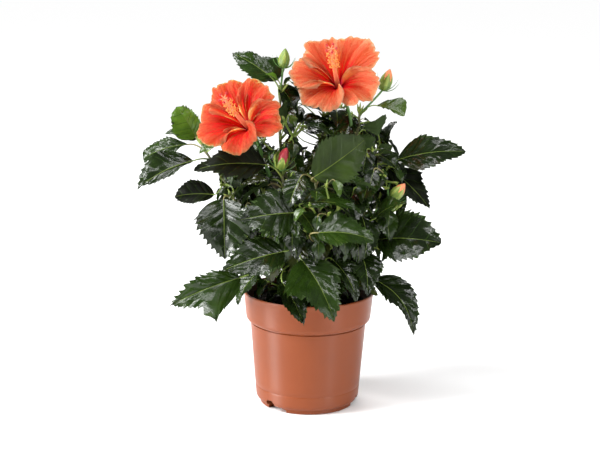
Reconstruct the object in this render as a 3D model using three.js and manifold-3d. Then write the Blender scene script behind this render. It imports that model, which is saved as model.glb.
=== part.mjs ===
// A young hibiscus shrub in its plastic pot: two open blooms, four buds, one short trunk.
// Millimetres, +Z up, standing on z = 0 with the pot's axis at the origin.
// +X is to the right and -Y to the front, the side that the blooms face.

import * as THREE from 'three';
import { mergeVertices } from 'three/addons/utils/BufferGeometryUtils.js';
import Module from 'manifold-3d';

const wasm = await Module();
wasm.setup();

// Driving dimensions

const GAP = 0.3; // running gap between neighbouring solids

const POT = {
  height: 115,
  lip: 1.2, // the lip's corners are taken off over this height
  rimRadius: 65, // outside, at the lip
  rimFootRadius: 62.6, // outside, at the bottom of the rim band
  rimDepth: 30, // height of the rim band
  rimRounding: 6, // the band's lower edge turns in over this height
  bodyTopRadius: 57.9,
  bodyFootRadius: 51.9,
  bodyFoot: 10, // height at which the body turns in to the foot
  footRadius: 47.5,
  footHeight: 4.2,
  wall: 2,
  floor: 5,
  discRadius: 30, // flat disc in the middle of the underside
  channelRadius: 40, // the drain channel lies between the disc and the foot ring
  channelDepth: 2.4,
  edge: 0.5, // corners taken off at the lip and the foot ring
  sides: 30,
  arcSteps: 2,
};

const DRAIN = {
  count: 3,
  firstDegrees: -46, // from the front towards the right
  holeRadius: 4,
  holeCount: 6,
  holeSides: 6,
};

// Each notch is an opening in the pot's foot and a gap in the ring that runs on to its right.
const OPENING = { width: 11, depth: 18, height: 10, shift: 0 };
const RING_GAP = { width: 23, depth: 15, height: POT.footHeight, shift: 5 };

const SOIL = { top: 101, crown: 3, clear: 0.7, sides: 30 };

const TRUNK = {
  path: [[0, 0, SOIL.top + SOIL.crown + GAP], [0, 0, 126], [-2, 3, 152], [4, 4, 180]],
  flareRadius: 10.5,
  flareHeight: 9,
  footRadius: 6.6,
  tipRadius: 3.9,
  sides: 8,
  steps: 10,
};

const BOUGH = { footRadius: 3.3, tipRadius: 2.3, sides: 6, steps: 4 };
const STEM = { footRadius: 2.1, tipRadius: 1.2, sides: 5, steps: 4, lead: 0.4 };
const TWIG = { footRadius: 1.3, tipRadius: 0.9, sides: 3, steps: 2, rise: 0.15 };
const PETIOLE = { radius: 0.8, bend: 0.45, longFrom: 24 };

// The blade's half width along its length u is (u/m)^a ((1-u)/(1-m))^b, widest at m = a/(a+b).
const BLADE = {
  baseFullness: 0.6,
  tipSlimness: 1.0,
  thickness: 1.3,
  arch: 0.09, // rise of the midrib over its chord, as a share of the length
  fold: 0.22, // rise of the edges over the midrib, as a share of the half width
  lobeAt: 0.36,
  lobeSpread: 0.1,
  lobeWidth: 0.42,
  lobeReach: 0.1, // side lobes point forward by this share of the length
  lobeLoss: 0.25, // and take this share off the oval
  outwardTurn: 0.35, // how far the face turns away from the crown's middle
  stations: [0.12, 0.42, 0.76], // cross sections of the solid
};

// One bough and the mass of foliage on it a row.
//   from: where the bough leaves the trunk, as a share of the trunk's length
//   bend, joint, tip: the bough bends at the first, ends and meets the mass's stem at the second,
//   and the stem runs on to the third
//   posed leaves: share of the stem at which the stalk leaves it, foot and tip of the blade,
//   width, roll about the midrib in degrees, and how deeply the blade is lobed
const MASSES = [
  {
    name: 'left', from: 0.55, bend: [-38, 2, 166], joint: [-64, 5, 196], tip: [-108, 14, 258],
    twigs: 2, seed: 11,
    posed: [
      { at: 1.0, foot: [-114, 15, 265], tip: [-131, 8, 296], width: 28, roll: -75, lobes: 0 },
      { at: 0.94, foot: [-113, 25, 262], tip: [-147, 40, 265], width: 20, roll: -35, lobes: 0 },
      { at: 0.86, foot: [-122, 20, 257], tip: [-168, 27, 242], width: 28, roll: -45, lobes: 0 },
      { at: 0.8, foot: [-115, 0, 244], tip: [-170, -12, 219], width: 34, roll: -40, lobes: 0 },
      { at: 0.6, foot: [-94, -8, 212], tip: [-134, -2, 208], width: 30, roll: -50, lobes: 0 },
    ],
    buds: [],
  },
  {
    name: 'low_left', from: 0.2, bend: [-14, -6, 132], joint: [-27, -14, 142], tip: [-74, -34, 214],
    twigs: 2, seed: 23,
    posed: [
      { at: 1.0, foot: [-83, -42, 215], tip: [-82, -54, 158], width: 50, roll: 0, lobes: 0.1 },
      { at: 0.02, foot: [-66, -45, 138], tip: [-133, -62, 113], width: 61, roll: -50, lobes: 0.9 },
    ],
    buds: [],
  },
  {
    name: 'front_left', from: 0.3, bend: [-7, -16, 138], joint: [-11, -27, 150], tip: [-27, -42, 238],
    twigs: 2, seed: 31,
    posed: [
      { at: 0.6, foot: [-16, -66, 207], tip: [-66, -84, 203], width: 50, roll: -60, lobes: 0 },
      { at: 0.1, foot: [-24, -72, 171], tip: [-83, -90, 157], width: 36, roll: -55, lobes: 0 },
      { at: 0.9, foot: [-36, -40, 234], tip: [-79, -52, 219], width: 22, roll: 10, lobes: 0 },
      { at: 0.98, foot: [-43, -36, 247], tip: [-112, -40, 244], width: 34, roll: -50, lobes: 0 },
      { at: 0.02, foot: [-26, -56, 137], tip: [-5, -82, 101], width: 24, roll: 0, lobes: 0 },
    ],
    buds: [{ at: 1.0, via: [-30, -42, 242], foot: [-30, -47, 246], tip: [-23, -55, 267], radius: 6.4 }],
  },
  {
    name: 'front', from: 0.12, bend: [7, -16, 128], joint: [10, -29, 139], tip: [4, -60, 236],
    twigs: 2, seed: 43,
    posed: [
      { at: 1.0, foot: [2, -72, 242], tip: [50, -60, 276], width: 45, roll: 50, lobes: 0.1 },
      { at: 0.42, foot: [7, -88, 193], tip: [60, -86, 187], width: 38, roll: 35, lobes: 0.1 },
      { at: 0.1, foot: [-8, -66, 162], tip: [24, -94, 110], width: 56, roll: 0, lobes: 0.8 },
      { at: 0.06, foot: [22, -48, 158], tip: [47, -68, 124], width: 27, roll: 0, lobes: 0 },
      { at: 0.7, foot: [-8, -72, 217], tip: [42, -74, 213], width: 30, roll: 15, lobes: 0 },
    ],
    buds: [],
  },
  {
    name: 'low_right', from: 0.24, bend: [17, -4, 134], joint: [30, -10, 144], tip: [54, -20, 214],
    twigs: 2, seed: 59,
    posed: [
      { at: 0.12, foot: [50, -32, 162], tip: [57, -60, 127], width: 30, roll: 0, lobes: 0 },
      { at: 0.06, foot: [63, -17, 131], tip: [104, -45, 83], width: 32, roll: 10, lobes: 0.9 },
      { at: 0.3, foot: [66, -25, 173], tip: [125, -50, 176], width: 48, roll: 50, lobes: 0.1 },
      { at: 0.75, foot: [62, -37, 196], tip: [90, -50, 216], width: 28, roll: 25, lobes: 0 },
    ],
    buds: [{ at: 0.8, via: [66, -24, 200], foot: [79, -25, 213], tip: [83, -26, 231], radius: 6 }],
  },
  {
    name: 'right', from: 0.62, bend: [34, 10, 178], joint: [54, 14, 204], tip: [68, 12, 256],
    twigs: 2, seed: 64,
    posed: [
      { at: 0.84, foot: [83, 0, 247], tip: [149, -15, 261], width: 34, roll: 35, lobes: 0.2 },
      { at: 0.64, foot: [77, 10, 238], tip: [121, 0, 200], width: 28, roll: 10, lobes: 0.9 },
      { at: 1.0, foot: [66, -3, 271], tip: [60, -14, 294], width: 28, roll: 10, lobes: 0 },
      { at: 0.95, foot: [73, 9, 260], tip: [83, 17, 284], width: 24, roll: 0, lobes: 0 },
    ],
    buds: [],
  },
  {
    name: 'upper_right', from: 0.86, bend: [22, 14, 206], joint: [34, 12, 230], tip: [47, 4, 292],
    twigs: 2, seed: 71,
    posed: [
      { at: 0.96, foot: [63, 0, 301], tip: [90, -10, 293], width: 24, roll: 20, lobes: 0 },
      { at: 0.7, foot: [32, 12, 281], tip: [12, 24, 286], width: 25, roll: 0, lobes: 0 },
      { at: 0.35, foot: [54, -6, 252], tip: [50, -20, 277], width: 24, roll: 0, lobes: 0 },
    ],
    buds: [{ at: 1.0, via: [56, 0, 301], foot: [69, -2, 316], tip: [69, -5, 338], radius: 6 }],
  },
  {
    name: 'upper_left', from: 0.8, bend: [-16, 8, 200], joint: [-24, 8, 226], tip: [-30, 2, 312],
    twigs: 2, seed: 83,
    posed: [
      { at: 0.98, foot: [-39, 2, 326], tip: [-78, 12, 349], width: 27, roll: -55, lobes: 0 },
      { at: 0.5, foot: [-27, -4, 280], tip: [-24, -8, 306], width: 14, roll: 60, lobes: 0 },
    ],
    buds: [{ at: 1.0, via: [-30, 1, 320], foot: [-28, 0, 336], tip: [-26, 0, 355], radius: 5.4 }],
  },
  {
    name: 'top_back', from: 0.93, bend: [6, 24, 208], joint: [8, 30, 232], tip: [14, 26, 284],
    twigs: 3, seed: 97,
    posed: [
      { at: 1.0, foot: [10, 22, 292], tip: [-12, 28, 297], width: 22, roll: 0, lobes: 0 },
      { at: 0.7, foot: [-4, 24, 272], tip: [34, 14, 275], width: 20, roll: 30, lobes: 0 },
    ],
    buds: [],
  },
  {
    name: 'back_left', from: 0.5, bend: [-32, 28, 168], joint: [-48, 42, 194], tip: [-60, 56, 244],
    twigs: 4, seed: 103, posed: [], buds: [],
  },
  {
    name: 'back', from: 0.34, bend: [-2, 24, 144], joint: [-4, 40, 164], tip: [-8, 74, 246],
    twigs: 4, seed: 113, posed: [], buds: [],
  },
  {
    name: 'back_right', from: 0.7, bend: [28, 34, 182], joint: [42, 50, 208], tip: [58, 58, 252],
    twigs: 4, seed: 127, posed: [], buds: [],
  },
  {
    name: 'low_back_left', from: 0.08, bend: [-14, 12, 124], joint: [-24, 24, 136], tip: [-66, 50, 186],
    twigs: 4, seed: 137, posed: [], buds: [],
  },
  {
    name: 'low_back_right', from: 0.16, bend: [15, 14, 128], joint: [25, 27, 139], tip: [68, 54, 192],
    twigs: 4, seed: 149, posed: [], buds: [],
  },
];

// Each bloom stands on a flowering twig at the end of a bough of its own.
const BLOOMS = [
  {
    name: 'bloom_right', from: 0.97, bend: [20, 2, 218], joint: [32, -4, 248], via: [46, 2, 292],
    base: [26, -8, 317], faces: [-0.15, -0.79, 0.6], turn: 8, seed: 5,
  },
  {
    name: 'bloom_left', from: 0.72, bend: [-24, -4, 198], joint: [-38, 0, 226], via: [-50, 2, 258],
    base: [-54, -24, 279], faces: [-0.42, -0.8, 0.5], turn: 30, seed: 9,
  },
];

const PETAL = {
  count: 5,
  throatRadius: 4,
  radius: 45, // from the bloom's axis to the petal's edge
  depth: 33, // from the base of the throat to the rim of the funnel
  halfAngle: 52, // degrees, at the widest
  overlap: 4.4, // one edge lies over the next petal by about this height
  ruffle: 2.4,
  ruffleCount: 9,
  thickness: 1.1,
  throatBreadth: 0.62, // share of the half angle that the petal has at the throat
  cornerLoss: 0.33, // how far the edge falls back at the petal's sides
  recurve: 6, // the rim bends back by this much
  recurveFrom: 0.62,
  powers: { breadth: 0.7, edge: 2.4, reach: 1.25, rise: 0.9, overlap: 0.5, ruffle: 3 },
  rows: 3,
  columns: 4,
};

const COLUMN = {
  length: 64,
  footRadius: 2.6,
  tipRadius: 1.4,
  lift: 5, // the tip bends up by this much
  bendAt: 0.55,
  beardFrom: 0.55,
  beardTo: 0.93,
  beardRadius: 5,
};
const STIGMA = { count: 5, spread: 5.5, rise: 4, armRadius: 0.5, radius: 1.9 };
const CALYX = { length: 17, radius: 6.2, below: 3 };
const BLOOM_TWIG = { lead: 0.3, straightUnder: 12 };
const BUD_PROFILE = [[0, 0.42], [0.2, 0.94], [0.45, 1], [0.78, 0.56], [1, 0.12]];
const BUD_STALK = { radius: 1, inside: 0.12 };

// What keeps the leaves of the growth rule to the crown's outline
const CROWN = {
  centre: [2, 14, 214],
  halfWidth: 97,
  front: 106,
  back: 128,
  above: 88,
  below: 108,
  potClearRadius: 74,
  overPot: 120,
  overTable: 96,
};

// Sky shows through the crown along these lines of sight from the front.
const EYE = [-9.6, -1350, 475];
const SKY = [[-9, 0, 303], [1, 0, 291], [-3, 0, 268], [-100, 0, 228], [108, 0, 215], [-34, 0, 267]];
const SKY_RADIUS = 9;

// The space in front of this plane and above this height is left to the blooms.
const BLOOM_VIEW = { y: -24, z: 246 };

// The growth rule
const RULE = {
  goldenAngle: 137.5,
  internode: 9,
  firstLeaf: 0.08,
  tries: 10,
  tryTurn: 47,
  stalk: [10, 22],
  stalkAngle: 58, // between stem and leaf stalk, degrees
  rounds: [[48, 62], [30, 42]], // lengths of the blades, the large ones first
  widthShare: [0.56, 0.7],
  droopLow: -48, // tilt of the blade at the foot and at the top of the crown, degrees
  droopHigh: 12,
  droopMost: -80,
  tiltRange: 12,
  tryDroop: 10, // each further try hangs the blade lower
  tryShrink: 0.04, // and makes it this share smaller
  outwardPull: 0.6,
  rollRange: 24,
  twigLength: [26, 40],
  twigAngle: 50,
  twigSpan: [0.2, 0.8],
  twigProbes: [0.4, 0.7, 1],
  clearOfOwnLeaves: 7,
  clearOfLeaves: 7.5,
  clearOfLimbs: 5.5,
  clearOfBlooms: 7,
  ownLimbShare: 0.6, // a blade may come this much nearer to its own stem
  stalkShare: 0.7, // stalks pass closer to things than blades do
  ownStalkShare: 0.4,
};

// Small helpers

const vec = (p) => new THREE.Vector3(p[0], p[1], p[2]);
const radians = (degrees) => (degrees * Math.PI) / 180;
const UP = new THREE.Vector3(0, 0, 1);

function randomSource(seed) {
  let state = seed;
  const draw = () => {
    state = (state * 1664525 + 1013904223) % 4294967296;
    return state / 4294967296;
  };
  draw();
  draw();
  return (range) => range[0] + (range[1] - range[0]) * draw();
}

// A point of the smooth curve that starts at the first and ends at the last of the points.
function curvePoint(points, t) {
  let row = points;
  while (row.length > 1) {
    const before = row;
    row = row.slice(1).map((p, i) => before[i].clone().lerp(p, t));
  }
  return row[0].clone();
}

function curveTangent(points, t) {
  let row = points;
  while (row.length > 2) {
    const before = row;
    row = row.slice(1).map((p, i) => before[i].clone().lerp(p, t));
  }
  return row[1].clone().sub(row[0]).normalize();
}

function toSolid(points, triangles) {
  const vertProperties = new Float32Array(points.flatMap((p) => [p.x, p.y, p.z]));
  const triVerts = new Uint32Array(triangles.flat());
  return new wasm.Manifold(new wasm.Mesh({ numProp: 3, vertProperties, triVerts }));
}

function geometryToSolid(geometry) {
  geometry.deleteAttribute('normal');
  geometry.deleteAttribute('uv');
  const merged = mergeVertices(geometry, 1e-3);
  const vertProperties = new Float32Array(merged.attributes.position.array);
  const triVerts = [];
  const index = merged.index.array;
  for (let i = 0; i < index.length; i += 3) {
    const [a, b, c] = [index[i], index[i + 1], index[i + 2]];
    if (a !== b && b !== c && c !== a) {
      triVerts.push(a, b, c);
    }
  }
  const mesh = new wasm.Mesh({ numProp: 3, vertProperties, triVerts: new Uint32Array(triVerts) });
  return new wasm.Manifold(mesh);
}

function join(solids) {
  return solids.reduce((whole, solid) => whole.add(solid));
}

function largest(solid) {
  const pieces = solid.decompose();
  return pieces.reduce((best, piece) => (piece.volume() > best.volume() ? piece : best));
}

function solidToMesh(solid, name, material) {
  const mesh = solid.getMesh();
  const geometry = new THREE.BufferGeometry();
  geometry.setAttribute('position', new THREE.BufferAttribute(new Float32Array(mesh.vertProperties), 3));
  geometry.setIndex(new THREE.BufferAttribute(new Uint32Array(mesh.triVerts), 1));
  geometry.computeVertexNormals();
  const part = new THREE.Mesh(geometry, material);
  part.name = name;
  return part;
}

// Rings of points joined into one closed tube; a last ring of one point closes it to a tip.
function loft(rings) {
  const sides = rings[0].length;
  const pointed = rings[rings.length - 1].length === 1;
  const full = pointed ? rings.length - 1 : rings.length;
  const triangles = [];
  for (let r = 0; r + 1 < full; r += 1) {
    for (let s = 0; s < sides; s += 1) {
      const a = r * sides + s;
      const b = r * sides + ((s + 1) % sides);
      triangles.push([a, b, b + sides], [a, b + sides, a + sides]);
    }
  }
  const last = (full - 1) * sides;
  for (let s = 0; s < sides; s += 1) {
    if (pointed) {
      triangles.push([last + s, last + ((s + 1) % sides), last + sides]);
    } else if (s > 0 && s + 1 < sides) {
      triangles.push([last, last + s, last + s + 1]);
    }
    if (s > 0 && s + 1 < sides) {
      triangles.push([0, s + 1, s]);
    }
  }
  return toSolid(rings.flat(), triangles);
}

// A limb along a curve; radiusAt gives its radius at each share of its length.
function limb(path, radiusAt, sides, steps) {
  const chord = path[path.length - 1].clone().sub(path[0]).normalize();
  const reference = Math.abs(chord.z) < 0.8 ? UP : new THREE.Vector3(1, 0, 0);
  const rings = [];
  for (let k = 0; k <= steps; k += 1) {
    const t = k / steps;
    const centre = curvePoint(path, t);
    const along = curveTangent(path, t);
    const across = reference.clone().cross(along).normalize();
    const third = along.clone().cross(across);
    const ring = [];
    for (let s = 0; s < sides; s += 1) {
      const angle = (2 * Math.PI * s) / sides;
      const point = centre.clone().addScaledVector(across, Math.cos(angle) * radiusAt(t));
      ring.push(point.addScaledVector(third, Math.sin(angle) * radiusAt(t)));
    }
    rings.push(ring);
  }
  return loft(rings);
}

const taper = (size, extra = 0) => (t) => size.footRadius + (size.tipRadius - size.footRadius) * t + extra;

// The leaf

// The outward way from the crown's middle that a leaf leans, and its two other axes
function leafAxes(foot, tip, roll) {
  const along = tip.clone().sub(foot).normalize();
  const outward = foot.clone().sub(vec(CROWN.centre)).setZ(0).normalize();
  const heading = along.clone().setZ(0).addScaledVector(outward, BLADE.outwardTurn).normalize();
  const side = UP.clone().cross(heading);
  side.addScaledVector(along, -side.dot(along)).normalize();
  const face = along.clone().cross(side);
  const turn = radians(roll);
  const across = side.clone().multiplyScalar(Math.cos(turn)).addScaledVector(face, Math.sin(turn));
  const normal = along.clone().cross(across);
  return { along, across, normal };
}

function bladeWidth(u, leaf) {
  const { baseFullness: a, tipSlimness: b } = BLADE;
  const widest = a / (a + b);
  const oval = ((u / widest) ** a) * (((1 - u) / (1 - widest)) ** b);
  const lobe = leaf.lobes * Math.exp(-(((u - BLADE.lobeAt) / BLADE.lobeSpread) ** 2));
  return 0.5 * leaf.width * (oval * (1 - BLADE.lobeLoss * leaf.lobes) + BLADE.lobeWidth * lobe);
}

// A point of the blade: u runs from foot to tip, v from edge to edge.
function bladePoint(leaf, u, v) {
  const half = bladeWidth(u, leaf);
  const length = leaf.tip.distanceTo(leaf.foot);
  const arch = BLADE.arch * length * 4 * u * (1 - u);
  const reach = u * length + leaf.lobes * BLADE.lobeReach * length * Math.abs(v) * (1 - u);
  const fold = BLADE.fold * Math.abs(v) * half;
  return leaf.foot.clone()
    .addScaledVector(leaf.axes.along, reach)
    .addScaledVector(leaf.axes.across, v * half)
    .addScaledVector(leaf.axes.normal, arch + fold);
}

function stalkPath(leaf) {
  const length = leaf.from.distanceTo(leaf.foot);
  const bend = leaf.foot.clone().addScaledVector(leaf.axes.along, -PETIOLE.bend * length);
  return [leaf.from, bend, leaf.foot];
}

function makeLeaf(from, foot, tip, width, roll, lobes) {
  const leaf = { from, foot, tip, width, lobes };
  leaf.axes = leafAxes(foot, tip, roll);
  return leaf;
}

// Stalk and blade in one: a four-sided loft that flattens to a lens with a sharp edge all round
function leafSolid(leaf) {
  const rings = [];
  const path = stalkPath(leaf);
  const { across, normal } = leaf.axes;
  const steps = leaf.from.distanceTo(leaf.foot) > PETIOLE.longFrom ? 2 : 1;
  for (let k = 0; k <= steps; k += 1) {
    const centre = curvePoint(path, k / steps);
    const tangent = curveTangent(path, k / steps);
    const wide = across.clone().addScaledVector(tangent, -across.dot(tangent)).normalize();
    const deep = tangent.clone().cross(wide);
    rings.push([[1, 0], [0, 1], [-1, 0], [0, -1]].map(([w, d]) => {
      const point = centre.clone().addScaledVector(wide, w * PETIOLE.radius);
      return point.addScaledVector(deep, d * PETIOLE.radius);
    }));
  }
  const half = BLADE.thickness / 2;
  for (const u of BLADE.stations) {
    const middle = bladePoint(leaf, u, 0);
    rings.push([
      bladePoint(leaf, u, 1),
      middle.clone().addScaledVector(normal, half),
      bladePoint(leaf, u, -1),
      middle.clone().addScaledVector(normal, -half),
    ]);
  }
  rings.push([bladePoint(leaf, 1, 0)]);
  return loft(rings);
}

// Points that stand for a blade, a stalk or a petal when the rule looks for free space
const PROBE_U = [0.06, 0.24, 0.42, 0.6, 0.78, 1];
const PROBE_V = [-0.95, -0.48, 0, 0.48, 0.95];
const PROBE_STALK = [0.35, 0.7];
const PETAL_PROBE_S = [0.25, 0.45, 0.65, 0.85, 1];
const PETAL_PROBE_T = [-1, -0.6, -0.2, 0.2, 0.6, 1];

function bladeProbes(leaf) {
  return PROBE_U.flatMap((u) => (u === 1 ? [0] : PROBE_V).map((v) => bladePoint(leaf, u, v)));
}

function stalkProbes(leaf) {
  return PROBE_STALK.map((t) => curvePoint(stalkPath(leaf), t));
}

// The bloom

function bloomAxes(bloom) {
  const axis = vec(bloom.faces).normalize();
  const right = UP.clone().cross(axis).normalize();
  const up = axis.clone().cross(right);
  return { axis, right, up };
}

// A point of a petal: s runs from the throat to the edge, t from one side to the other.
function petalPoint(bloom, petal, s, t) {
  const { powers } = PETAL;
  const turned = radians(bloom.turn + (360 / PETAL.count) * petal);
  const breadth = PETAL.throatBreadth + (1 - PETAL.throatBreadth) * s ** powers.breadth;
  const angle = turned + t * radians(PETAL.halfAngle) * breadth;
  const edge = PETAL.radius * (1 - PETAL.cornerLoss * Math.abs(t) ** powers.edge);
  const radius = PETAL.throatRadius + (edge - PETAL.throatRadius) * s ** powers.reach;
  const wave = Math.sin(angle * PETAL.ruffleCount + bloom.seed) * PETAL.ruffle * s ** powers.ruffle;
  const height = PETAL.depth * Math.sin(0.5 * Math.PI * s) ** powers.rise;
  const back = PETAL.recurve * Math.max(0, s - PETAL.recurveFrom) * s;
  const lifted = height - back + t * PETAL.overlap * s ** powers.overlap + wave;
  return bloom.origin.clone()
    .addScaledVector(bloom.axes.axis, lifted)
    .addScaledVector(bloom.axes.right, Math.cos(angle) * radius)
    .addScaledVector(bloom.axes.up, Math.sin(angle) * radius);
}

function petalSolid(bloom, petal) {
  const { rows, columns, thickness } = PETAL;
  const sheet = [];
  for (let i = 0; i <= rows; i += 1) {
    for (let j = 0; j <= columns; j += 1) {
      sheet.push(petalPoint(bloom, petal, i / rows, (2 * j) / columns - 1));
    }
  }
  const size = sheet.length;
  const back = sheet.map((p) => p.clone().addScaledVector(bloom.axes.axis, -thickness));
  const at = (i, j) => i * (columns + 1) + j;
  const triangles = [];
  for (let i = 0; i < rows; i += 1) {
    for (let j = 0; j < columns; j += 1) {
      const [a, b, c, d] = [at(i, j), at(i + 1, j), at(i + 1, j + 1), at(i, j + 1)];
      triangles.push([a, b, c], [a, c, d]);
      triangles.push([a + size, c + size, b + size], [a + size, d + size, c + size]);
    }
  }
  const rim = [];
  for (let j = 0; j < columns; j += 1) {
    rim.push(at(0, j));
  }
  for (let i = 0; i < rows; i += 1) {
    rim.push(at(i, columns));
  }
  for (let j = columns; j > 0; j -= 1) {
    rim.push(at(rows, j));
  }
  for (let i = rows; i > 0; i -= 1) {
    rim.push(at(i, 0));
  }
  rim.forEach((a, k) => {
    const b = rim[(k + 1) % rim.length];
    triangles.push([a, b, b + size], [a, b + size, a + size]);
  });
  return toSolid([...sheet, ...back], triangles);
}

function columnPath(bloom) {
  const middle = bloom.origin.clone().addScaledVector(bloom.axes.axis, COLUMN.length * COLUMN.bendAt);
  const end = bloom.origin.clone().addScaledVector(bloom.axes.axis, COLUMN.length);
  return [bloom.origin.clone(), middle, end.addScaledVector(bloom.axes.up, COLUMN.lift)];
}

// A bulb between two points, with its radius given at shares of its length
function bulb(from, to, profile, sides) {
  const along = to.clone().sub(from).normalize();
  const reference = Math.abs(along.z) < 0.8 ? UP : new THREE.Vector3(1, 0, 0);
  const across = reference.clone().cross(along).normalize();
  const third = along.clone().cross(across);
  const rings = profile.map(([t, radius]) => {
    const centre = from.clone().lerp(to, t);
    return Array.from({ length: sides }, (_, s) => {
      const angle = (2 * Math.PI * s) / sides;
      const point = centre.clone().addScaledVector(across, Math.cos(angle) * radius);
      return point.addScaledVector(third, Math.sin(angle) * radius);
    });
  });
  return loft(rings);
}

function bloomSolid(bloom) {
  const petals = Array.from({ length: PETAL.count }, (_, k) => petalSolid(bloom, k));
  const path = columnPath(bloom);
  const column = limb(path, taper(COLUMN), 5, 3);
  const beardFrom = curvePoint(path, COLUMN.beardFrom);
  const beardTo = curvePoint(path, COLUMN.beardTo);
  const r = COLUMN.beardRadius;
  const beard = bulb(beardFrom, beardTo, [[0, 0.4 * r], [0.25, 0.9 * r], [0.75, r], [1, 0.5 * r]], 6);
  const end = path[path.length - 1];
  const pads = Array.from({ length: STIGMA.count }, (_, k) => {
    const angle = (2 * Math.PI * k) / STIGMA.count;
    const out = bloom.axes.right.clone().multiplyScalar(Math.cos(angle));
    out.addScaledVector(bloom.axes.up, Math.sin(angle));
    const pad = end.clone().addScaledVector(out, STIGMA.spread);
    pad.addScaledVector(bloom.axes.axis, STIGMA.rise);
    const swell = (t) => STIGMA.armRadius + (STIGMA.radius - STIGMA.armRadius) * t * t;
    return limb([end.clone(), pad], swell, 4, 2);
  });
  const calyxFoot = bloom.origin.clone().addScaledVector(bloom.axes.axis, -CALYX.below);
  const calyxTop = calyxFoot.clone().addScaledVector(bloom.axes.axis, CALYX.length);
  const c = CALYX.radius;
  const calyx = bulb(calyxFoot, calyxTop, [[0, 0.45 * c], [0.2, 0.8 * c], [0.6, c], [1, 1.12 * c]], 8);
  const twig = limb(bloom.twig, taper(STEM), STEM.sides, 2 * STEM.steps);
  return join([calyx, twig, column, beard, ...pads, ...petals]);
}

// Buds on their stalks, fused to the mass that bears them

function budSolid(bud) {
  const body = bulb(bud.foot, bud.tip, BUD_PROFILE.map(([t, share]) => [t, share * bud.radius]), 6);
  const inside = bud.foot.clone().lerp(bud.tip, BUD_STALK.inside);
  return body.add(limb([bud.from, bud.via, bud.foot, inside], () => BUD_STALK.radius, 4, 4));
}

// The crown's limbs, settled before any leaf

const trunkPath = TRUNK.path.map(vec);

function trunkRadius(t, extra = 0) {
  const height = t * (TRUNK.path[3][2] - TRUNK.path[0][2]);
  const fade = Math.exp(-((height / (0.5 * TRUNK.flareHeight)) ** 1.5));
  const flare = (TRUNK.flareRadius - TRUNK.footRadius) * fade;
  return TRUNK.footRadius + (TRUNK.tipRadius - TRUNK.footRadius) * t + flare + extra;
}

function boughPath(row) {
  return [curvePoint(trunkPath, row.from), vec(row.bend), vec(row.joint)];
}

// The point where a mass's stem or a flowering twig starts, a gap beyond its bough's end
function stemStart(row) {
  const path = boughPath(row);
  const along = curveTangent(path, 1);
  return { start: vec(row.joint).addScaledVector(along, GAP), along };
}

function stemPath(row) {
  const { start, along } = stemStart(row);
  const tip = vec(row.tip);
  const lead = start.clone().addScaledVector(along, STEM.lead * tip.distanceTo(start));
  return [start, lead, tip];
}

// What stands in the crown already: points with the name of the piece that they belong to
const occupied = { limbs: [], blades: [], blooms: [] };

function occupy(list, owner, points) {
  list.push(...points.map((point) => ({ owner, point })));
}

function limbProbes(path) {
  const steps = Math.max(2, Math.ceil(path[0].distanceTo(path[path.length - 1]) / 6));
  return Array.from({ length: steps + 1 }, (_, k) => curvePoint(path, k / steps));
}

function isFree(points, list, distance, owner, ownDistance) {
  return points.every((p) => list.every((o) => {
    return o.point.distanceTo(p) > (o.owner === owner ? ownDistance : distance);
  }));
}

function insideCrown(point) {
  const [cx, cy, cz] = CROWN.centre;
  const x = (point.x - cx) / CROWN.halfWidth;
  const y = (point.y - cy) / (point.y < cy ? CROWN.front : CROWN.back);
  const z = (point.z - cz) / (point.z > cz ? CROWN.above : CROWN.below);
  const overPot = Math.hypot(point.x, point.y) < CROWN.potClearRadius;
  const floor = overPot ? CROWN.overPot : CROWN.overTable;
  const inBloomView = point.y < BLOOM_VIEW.y && point.z > BLOOM_VIEW.z;
  return x * x + y * y + z * z < 1 && point.z > floor && !inBloomView;
}

const eye = vec(EYE);

function clearOfSky(point) {
  return SKY.every((spot) => {
    const sight = vec(spot).sub(eye).normalize();
    const offset = point.clone().sub(eye);
    const along = sight.clone().multiplyScalar(offset.dot(sight));
    return offset.sub(along).length() > SKY_RADIUS;
  });
}

function perpendicular(along, degrees) {
  const reference = Math.abs(along.z) < 0.9 ? UP : new THREE.Vector3(1, 0, 0);
  const across = reference.clone().cross(along).normalize();
  const third = along.clone().cross(across);
  const angle = radians(degrees);
  return across.multiplyScalar(Math.cos(angle)).addScaledVector(third, Math.sin(angle));
}

function leanFrom(along, out, degrees) {
  const angle = radians(degrees);
  return along.clone().multiplyScalar(Math.cos(angle)).addScaledVector(out, Math.sin(angle));
}

// Side twigs: golden angle round the stem, each kept only where the crown has room for it
function growTwigs(row, stem, random) {
  const twigs = [];
  for (let k = 0; k < row.twigs; k += 1) {
    const [low, high] = RULE.twigSpan;
    const t = low + ((high - low) * (k + 0.5)) / row.twigs;
    const length = random(RULE.twigLength);
    const azimuth = random([0, 360]);
    for (let attempt = 0; attempt < RULE.tries; attempt += 1) {
      const along = curveTangent(stem, t);
      const turned = azimuth + k * RULE.goldenAngle + attempt * RULE.tryTurn;
      const heading = leanFrom(along, perpendicular(along, turned), RULE.twigAngle);
      const from = curvePoint(stem, t);
      const middle = from.clone().addScaledVector(heading, 0.5 * length);
      const tip = from.clone().addScaledVector(heading, length).addScaledVector(UP, TWIG.rise * length);
      const path = [from, middle, tip];
      const probes = RULE.twigProbes.map((s) => curvePoint(path, s));
      const free = isFree(probes, occupied.limbs, RULE.clearOfLimbs, row.name, RULE.clearOfLimbs)
        && isFree(probes, occupied.blades, RULE.clearOfLimbs, row.name, RULE.clearOfLimbs)
        && isFree(probes, occupied.blooms, RULE.clearOfBlooms);
      if (free && probes.every(insideCrown) && probes.every(clearOfSky)) {
        twigs.push(path);
        occupy(occupied.limbs, row.name, limbProbes(path).slice(1));
        break;
      }
    }
  }
  return twigs;
}

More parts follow.
